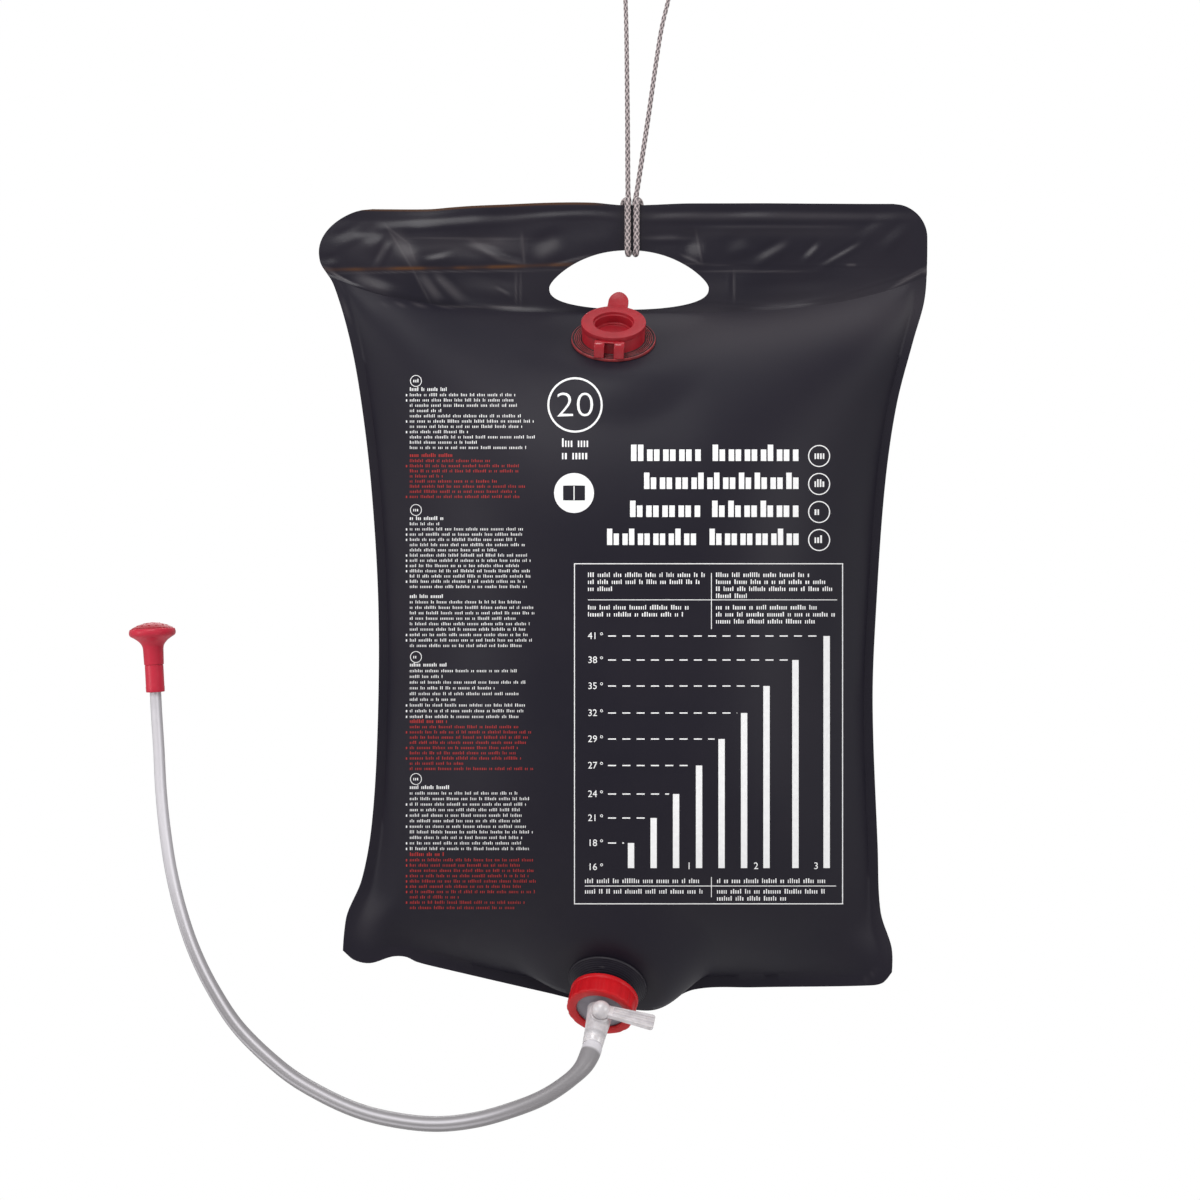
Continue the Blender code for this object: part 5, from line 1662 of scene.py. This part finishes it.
@dataclass
class Sling:
    """The hanging cord: a tied loop, hitched round the bag's band."""

    braid: Braid = field(default_factory=Braid)
    loop_radius: float = 0.0155
    knot_half: float = 0.0049
    hitch_x: float = HITCH_X

    def route(self) -> list[Vector]:
        """The sling's own points: knot, right strand, lark's head on the band, left strand, loop."""
        loop_z = self.braid.radius - self.loop_radius
        foot = loop_z - 2 * GAP - 2 * self.knot_half
        strand = [(self.loop_radius, 0, foot), (0.0144, 0.0003, -0.0340), (0.0086, 0.0012, -0.0600),
                  (0.0004, 0.0027, -0.1160), (-0.0065, 0.0039, -0.1610)]
        hitch = [(-0.0083, 0.0044, -0.1720), (-0.00875, 0.0042, -0.1780), (-0.00875, 0.0030, -0.1880),
                 (-0.00875, 0.00275, -0.2000), (-0.0087, 0.00275, -0.2068), (-0.0085, 0.00195, -0.2090),
                 (-0.0082, 0.0, -0.20985), (-0.0079, -0.00195, -0.2090), (-0.0077, -0.00275, -0.2068),
                 (-0.0077, -0.00275, -0.2000), (-0.0077, -0.00275, -0.1880), (-0.0076, -0.00275, -0.1758),
                 (-0.0073, -0.00195, -0.1732), (-0.0069, 0.0, -0.1724), (-0.0053, 0.0022, -0.1731),
                 (-0.0046, 0.0046, -0.1762), (-0.0054, 0.0079, -0.1802), (-0.0082, 0.0087, -0.1827)]
        middle = [(self.hitch_x, 0.0089, -0.1832)]
        other = [(2 * self.hitch_x - x, y, z) for x, y, z in reversed(hitch)]
        rise = [(-0.0135, 0.0038, -0.1610), (-0.0138, 0.0027, -0.1160), (-0.0145, 0.0012, -0.0600),
                (-0.0153, 0.0003, -0.0300)]
        radii = (self.loop_radius, self.loop_radius)
        loop = [(x, 0, z) for x, z in arc((0, loop_z), radii, math.pi, 0, 6)]
        return [Vector(p) for p in strand + hitch + middle + other + rise + loop]

    def knot(self) -> Piece:
        """The knot: the cord wound three times round itself, with a short tail."""
        centre = Vector((self.loop_radius, 0, self.braid.radius - self.loop_radius - GAP - self.knot_half))
        turns, reach = 2.6, 0.0030
        points = []
        for i in range(60):
            share = i / 59
            turn = 2 * math.pi * turns * share
            height = (0.5 - share) * (2 * self.knot_half - 2 * self.braid.radius)
            points.append(centre + Vector((reach * math.cos(turn), reach * math.sin(turn), height)))
        return self.braid.tube("sling_knot", smooth_route(points, 0.0004))

    def build(self) -> None:
        route = smooth_route(self.route(), 0.00045)
        centres = np.array([tuple(p) for p in route])
        fuller = smoothstep(0.03, 0.15, -centres[:, 2])
        legs = smoothstep(0.165, 0.176, -centres[:, 2])
        cord = self.braid.tube("sling_cord", route, 0.82 + 0.14 * fuller + 0.22 * legs)
        finish_piece(cord, "bag", Slot.BRAID, CORD_WHITE, "hanging_cord")
        knot = self.knot()
        finish_piece(knot, "bag", Slot.BRAID, CORD_WHITE, "cord_knot")


@dataclass
class Hose:
    """The clear hose from the tap to the rose."""

    outlet: Outlet
    radius: float = HOSE_RADIUS
    bore: float = HOSE_BORE
    flare: float = 1.33
    flare_length: float = 0.036
    slimmer: float = 0.17
    sides: int = 44

    def route(self) -> list[Vector]:
        """The hose's own points, from the tap to inside the rose's sleeve."""
        tap = self.outlet.bag.outlet_frame()
        end = self.outlet.face + self.outlet.disc + self.outlet.barrel_length + GAP
        nipple = self.outlet.nipple_length
        points = [tap @ Vector((0, 0, end + out)) for out in (0.0, 0.5 * nipple, nipple)]
        points += [Vector(p) for p in (
            (-0.0440, -0.0856, -0.7519), (-0.0535, -0.0927, -0.7594), (-0.0676, -0.0979, -0.7676),
            (-0.0842, -0.0995, -0.7744), (-0.1103, -0.0950, -0.7832), (-0.1370, -0.0860, -0.7886),
            (-0.1641, -0.0730, -0.7897), (-0.1920, -0.0580, -0.7871), (-0.2205, -0.0410, -0.7794),
            (-0.2482, -0.0235, -0.7674), (-0.2805, -0.0020, -0.7448), (-0.3028, 0.0180, -0.7209),
            (-0.3203, 0.0380, -0.6963), (-0.3334, 0.0560, -0.6707), (-0.3435, 0.0720, -0.6441),
            (-0.3508, 0.0860, -0.6166), (-0.3560, 0.0970, -0.5884), (-0.3593, 0.1055, -0.5595))]
        rose = Rose().frame()
        points += [rose @ Vector((0, 0, level)) for level in (-0.017, -0.004, 0.004, 0.0140 - GAP)]
        return points

    @staticmethod
    def stripes(centres: Array, outward: Array, run: Array) -> Array:
        """How light each place of the hose is painted: two stripes of painted highlight along it that fade
        out towards the tap, and a pale band over the tap's nipple.

        Args:
            centres: The hose's centreline.
            outward: The outward directions of each ring's points.
            run: How far along each ring lies.

        Returns:
            A share for each point of each ring.
        """
        ahead = np.gradient(centres, axis=0)
        ahead /= np.linalg.norm(ahead, axis=1)[:, None]
        right = np.cross(ahead, (0.0, 1.0, 0.0))
        right /= np.linalg.norm(right, axis=1)[:, None]
        side = (outward * right[:, None, :]).sum(2)
        turned, risen = smoothstep(0.20, 0.34, run)[:, None], smoothstep(0.32, 0.50, run)[:, None]
        broad = np.exp(-(((side + 0.46) / (0.17 + 0.12 * risen)) ** 2)) * (0.72 + 0.23 * risen)
        thin = np.exp(-(((side - 0.25 - 0.42 * turned) / 0.15) ** 2)) * (0.46 + 0.20 * risen)
        nipple = 0.75 * (1 - smoothstep(0.0100, 0.0120, run))[:, None]
        lit = np.maximum(np.maximum(broad, thin), 0.62 * risen * (1 - 0.5 * side ** 2))
        return np.maximum(lit * smoothstep(0.050, 0.12, run)[:, None], nipple)

    def build(self) -> None:
        route = smooth_route(self.route(), 0.0022)
        centres, outward, run = tube_rings(route, self.sides)
        skirt, nipple = self.outlet.skirt, self.outlet.nipple_length
        over = (self.flare - 1) * (0.6 + 0.4 * smoothstep(skirt, skirt + 0.0008, run))
        grown = 1 + over * (1 - smoothstep(nipple, self.flare_length, run))
        grown = grown - self.slimmer * smoothstep(0.22, 0.55, run)
        outer, inner = ((centres[:, None, :] + outward * (radius * grown)[:, None, None]).reshape(-1, 3)
                        for radius in (self.radius, self.bore))
        rings, sides = len(run), self.sides
        faces = ring_faces(0, rings, sides) + ring_faces(rings * sides, rings, sides, inward=True)
        last = (rings - 1) * sides
        for j in range(sides):
            k = (j + 1) % sides
            faces.append((k, j, rings * sides + j, rings * sides + k))
            faces.append((last + j, last + k, rings * sides + last + k, rings * sides + last + j))
        made = mesh_object("hose_tube", np.concatenate([outer, inner]), faces)
        # Painted highlight stripes along the hose, and a pale band over the nipple.
        set_attribute(made, "painted_highlight_stripe", np.tile(self.stripes(centres, outward, run).ravel(), 2))
        finish_piece(made, "tap", Slot.CLEAR, HOSE_CLEAR, "hose")


# Rose


@dataclass
class Rose:
    """The small shower rose: sleeve, trumpet-shaped head and spray plate."""

    foot: Vector = field(default_factory=lambda: Vector((-0.3628, 0.1100, -0.5168)))
    lean: float = math.radians(3.0)
    sleeve_length: float = 0.0202
    sleeve_wall: float = 0.0015
    socket: float = 0.0140
    spigot_radius: float = 0.0050
    spigot_length: float = 0.0092
    neck_wall: float = 0.0018
    flare_height: float = 0.0360
    rim_height: float = 0.0472
    rim_radius: float = 0.0171
    wall: float = 0.0015
    washer: float = 0.0012
    plate: float = 0.0016
    dome: float = 0.0043
    plate_radius: float = 0.0153

    def frame(self) -> Matrix:
        """Foot of the sleeve, Z towards the spray plate."""
        return frame_on(self.foot, Vector((-math.sin(self.lean), 0, math.cos(self.lean))), TO_RIGHT)

    def sleeve(self) -> Piece:
        """The sleeve on the hose, with its nipple and spigot."""
        socket = HOSE_RADIUS + GAP
        outside, end = socket + self.sleeve_wall, self.sleeve_length
        nipple = HOSE_BORE - GAP
        bore, top = nipple - 0.0012, end + self.spigot_length
        outline = [
            (self.spigot_radius, top), (self.spigot_radius, end), (outside - 0.0001, end),
            (outside, end - 0.0008), (outside, 0.0044), (outside + 0.00015, 0.0040), (outside, 0.0002),
            (outside - 0.0004, 0), (socket, 0), (socket, self.socket), (nipple, self.socket),
            (nipple, 0.0015), (bore, 0.0015), (bore, top)]
        made = Bench.spun("rose_sleeve", outline, 80)
        Bench.rounded(made, 0.0003, 3, 30)
        Bench.settle(made, self.frame())
        return made

    def curve(self, small: float, low: float, large: float, high: float, steps: int) -> list[Pair]:
        """Points down a trumpet-shaped flare, without its upper end."""
        points = []
        for i in range(1, steps + 1):
            share = 1 - i / steps
            widened = 0.35 * share + 0.65 * share**2.2
            points.append((small + (large - small) * widened, low + (high - low) * share))
        return points

    def head(self) -> Piece:
        """The trumpet-shaped head with its rolled rim."""
        start = self.sleeve_length + GAP / 4
        bush = self.spigot_radius + RUNNING_GAP
        neck = bush + self.neck_wall
        shoulder = self.sleeve_length + self.spigot_length + self.washer + 2 * GAP
        bore = HOSE_BORE - GAP - 0.0012
        seat, plate, roll = self.rim_height - self.plate, self.plate_radius + GAP, 0.0032
        belly, curl = self.rim_height - roll, self.rim_height - 0.0062
        outline = [(plate, self.rim_height)]
        outline += arc((plate, belly), (self.rim_radius - plate, roll), math.pi / 2, 0, 8)[1:]
        outline += [(self.rim_radius - 0.0002, belly - 0.0012), (self.rim_radius - 0.0009, belly - 0.0022)]
        outline += self.curve(neck + 0.0006, self.flare_height - 0.002, self.rim_radius - 0.0022, curl, 12)
        outline += [(neck + 0.0003, self.flare_height - 0.004), (neck, start + 0.0003),
                    (neck - 0.0003, start), (bush, start), (bush, shoulder), (bore, shoulder),
                    (bore, shoulder + 0.0012)]
        inside = self.curve(neck - 0.0010, self.flare_height + 0.0010, plate - 0.0022, seat - 0.0006, 8)
        outline += [(neck - 0.0010, self.flare_height)] + inside[::-1]
        outline += [(plate - 0.0012, seat), (plate, seat)]
        made = Bench.spun("rose_bell", outline, 96)
        Bench.rounded(made, 0.0002, 2, 34)
        Bench.settle(made, self.frame())
        return made

    def spray(self) -> Piece:
        """The domed spray plate with a small raised nozzle, dimpled in its middle, at each spray hole's
        place.
        """
        radius = self.plate_radius
        low = self.rim_height - self.plate + GAP
        high = low + self.plate
        outline = [(radius * i / 12, high + self.dome * (1 - (i / 12) ** 2)) for i in range(13)]
        outline += [(radius * (1 - i / 6), low + self.dome * (1 - (1 - i / 6) ** 2)) for i in range(7)]
        made = Bench.spun("rose_spray", outline, 96)
        Bench.rounded(made, 0.0003, 2, 34)
        nozzle = Bench.spun("nozzle", [(0, -0.0002), (0.0004, 0.0001), (0.0008, 0.0001), (0.0011, -0.0004),
                                       (0, -0.0006)], 12)
        Bench.smooth(nozzle, 60)
        posts = []
        for ring, count in ((0.0, 1), (0.0052, 6), (0.0104, 12)):
            height = high + self.dome * (1 - (ring / radius) ** 2)
            for x, y in arc((0, 0), (ring, ring), 0, 2 * math.pi, count)[:-1]:
                post = nozzle.copy()
                post.data = nozzle.data.copy()
                bpy.context.scene.collection.objects.link(post)
                Bench.settle(post, Matrix.Translation((x, y, height)))
                posts.append(post)
        bpy.data.objects.remove(nozzle)
        made = Bench.joined("rose_spray", [made] + posts)
        Bench.settle(made, self.frame())
        return made

    def build(self) -> None:
        """Builds and places the rose's pieces."""
        finish_piece(self.sleeve(), "tap", Slot.RED, ROSE_RED, "rose_connector")
        finish_piece(self.head(), "rose", Slot.RED, ROSE_RED, "rose_head")
        finish_piece(self.spray(), "rose", Slot.RED, SHADED_PLATE_RED, "rose_plate")


# Surroundings


@dataclass
class Studio:
    """Camera, plain soft lights, a pale floor and a white background."""

    floor_z: float = -1.60
    floor_radius: float = 2.3
    ambient: float = 0.50

    def camera(self) -> None:
        """Places the camera at the photograph's height and distance."""
        data = bpy.data.cameras.new("camera")
        data.lens = 36.0 * -EYE.y / VIEW_WIDTH
        data.sensor_width = 36.0
        data.clip_start = 0.05
        made = bpy.data.objects.new("camera", data)
        made.location = EYE
        made.rotation_euler = (math.radians(90), 0, 0)
        bpy.context.scene.collection.objects.link(made)
        bpy.context.scene.camera = made

    def lamp(self, name: str, place: Pair, height: float, power: float, size: float) -> None:
        """Adds a square soft lamp that faces the bag's middle.

        Args:
            name: The lamp's name.
            place: Its X and Y.
            height: Its Z.
            power: Its power in watts.
            size: Its side in metres.
        """
        data = bpy.data.lights.new(name, "AREA")
        data.energy = power
        data.size = size
        made = bpy.data.objects.new(name, data)
        made.location = (*place, height)
        aim = Vector((-0.03, 0.0, -0.45)) - made.location
        made.rotation_euler = aim.to_track_quat("-Z", "Y").to_euler()
        bpy.context.scene.collection.objects.link(made)

    def world(self) -> None:
        """A plain world that is white to the camera and through the hose."""
        world = bpy.data.worlds.new("world")
        world.use_nodes = True
        bpy.context.scene.world = world
        sheet = NodeSheet(world.node_tree)
        path = sheet.add("ShaderNodeLightPath")
        seen = sheet.math("MAXIMUM", path.outputs["Is Camera Ray"], path.outputs["Is Transmission Ray"])
        level = sheet.math("ADD", sheet.math("MULTIPLY", seen, 1.0 - self.ambient), self.ambient)
        background = world.node_tree.nodes["Background"]
        background.inputs["Color"].default_value = (1.0, 1.0, 1.0, 1.0)
        world.node_tree.links.new(level, background.inputs["Strength"])

    def floor(self) -> None:
        """A round pale floor, far below the hanging bag."""
        Bench.clear()
        bpy.ops.mesh.primitive_circle_add(vertices=96, radius=self.floor_radius, fill_type="NGON",
                                          location=(0, 0, self.floor_z))
        made = bpy.context.object
        made.name = "floor"
        paint(made, FLOOR_PALE)

    def build(self) -> None:
        """Builds the surroundings."""
        bpy.context.scene.view_settings.view_transform = "Standard"
        self.camera()
        self.world()
        self.floor()
        self.lamp("lamp_key", (-0.45, -1.25), 0.95, 21.0, 1.0)
        self.lamp("lamp_fill", (1.7, -1.1), -0.2, 12.0, 0.8)
        self.lamp("lamp_side", (-1.7, -0.9), -0.3, 9.0, 0.8)
        self.lamp("lamp_top", (0.35, 0.15), 1.1, 4.5, 1.0)
        self.lamp("lamp_back", (-0.5, 1.6), 0.5, 12.0, 1.0)


def corners(box: tuple[Vector, Vector]) -> list[list[float]]:
    """A box as plain lists of numbers."""
    return [[round(float(c), 6) for c in corner] for corner in box]


def main() -> None:
    """Builds the surroundings and every piece of the shower."""
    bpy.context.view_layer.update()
    Studio().build()
    bag = Bag()
    outlet = Outlet(bag)
    Sling().build()
    Rose().build()
    Hose(outlet).build()
    Filler(bag).build()
    outlet.build()

    film = Film(bag)
    front = film.make("front_film", True)
    back = film.make("back_film", False)
    marks = Print(front).make()
    finish_piece(front, "bag", Slot.FILM, CHAMBER_FILM, "front_panel")
    finish_piece(back, "bag", Slot.FILM, CHAMBER_FILM, "back_panel")
    for piece in marks:
        finish_piece(piece, "bag", Slot.FILM, WHITE_INK)

    for name in ("outlet_gasket", "rose_washer"):
        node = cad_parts[name]
        node.data.materials.clear()
        paint(node, RUBBER_GREY)


if __name__ == "__main__":
    main()
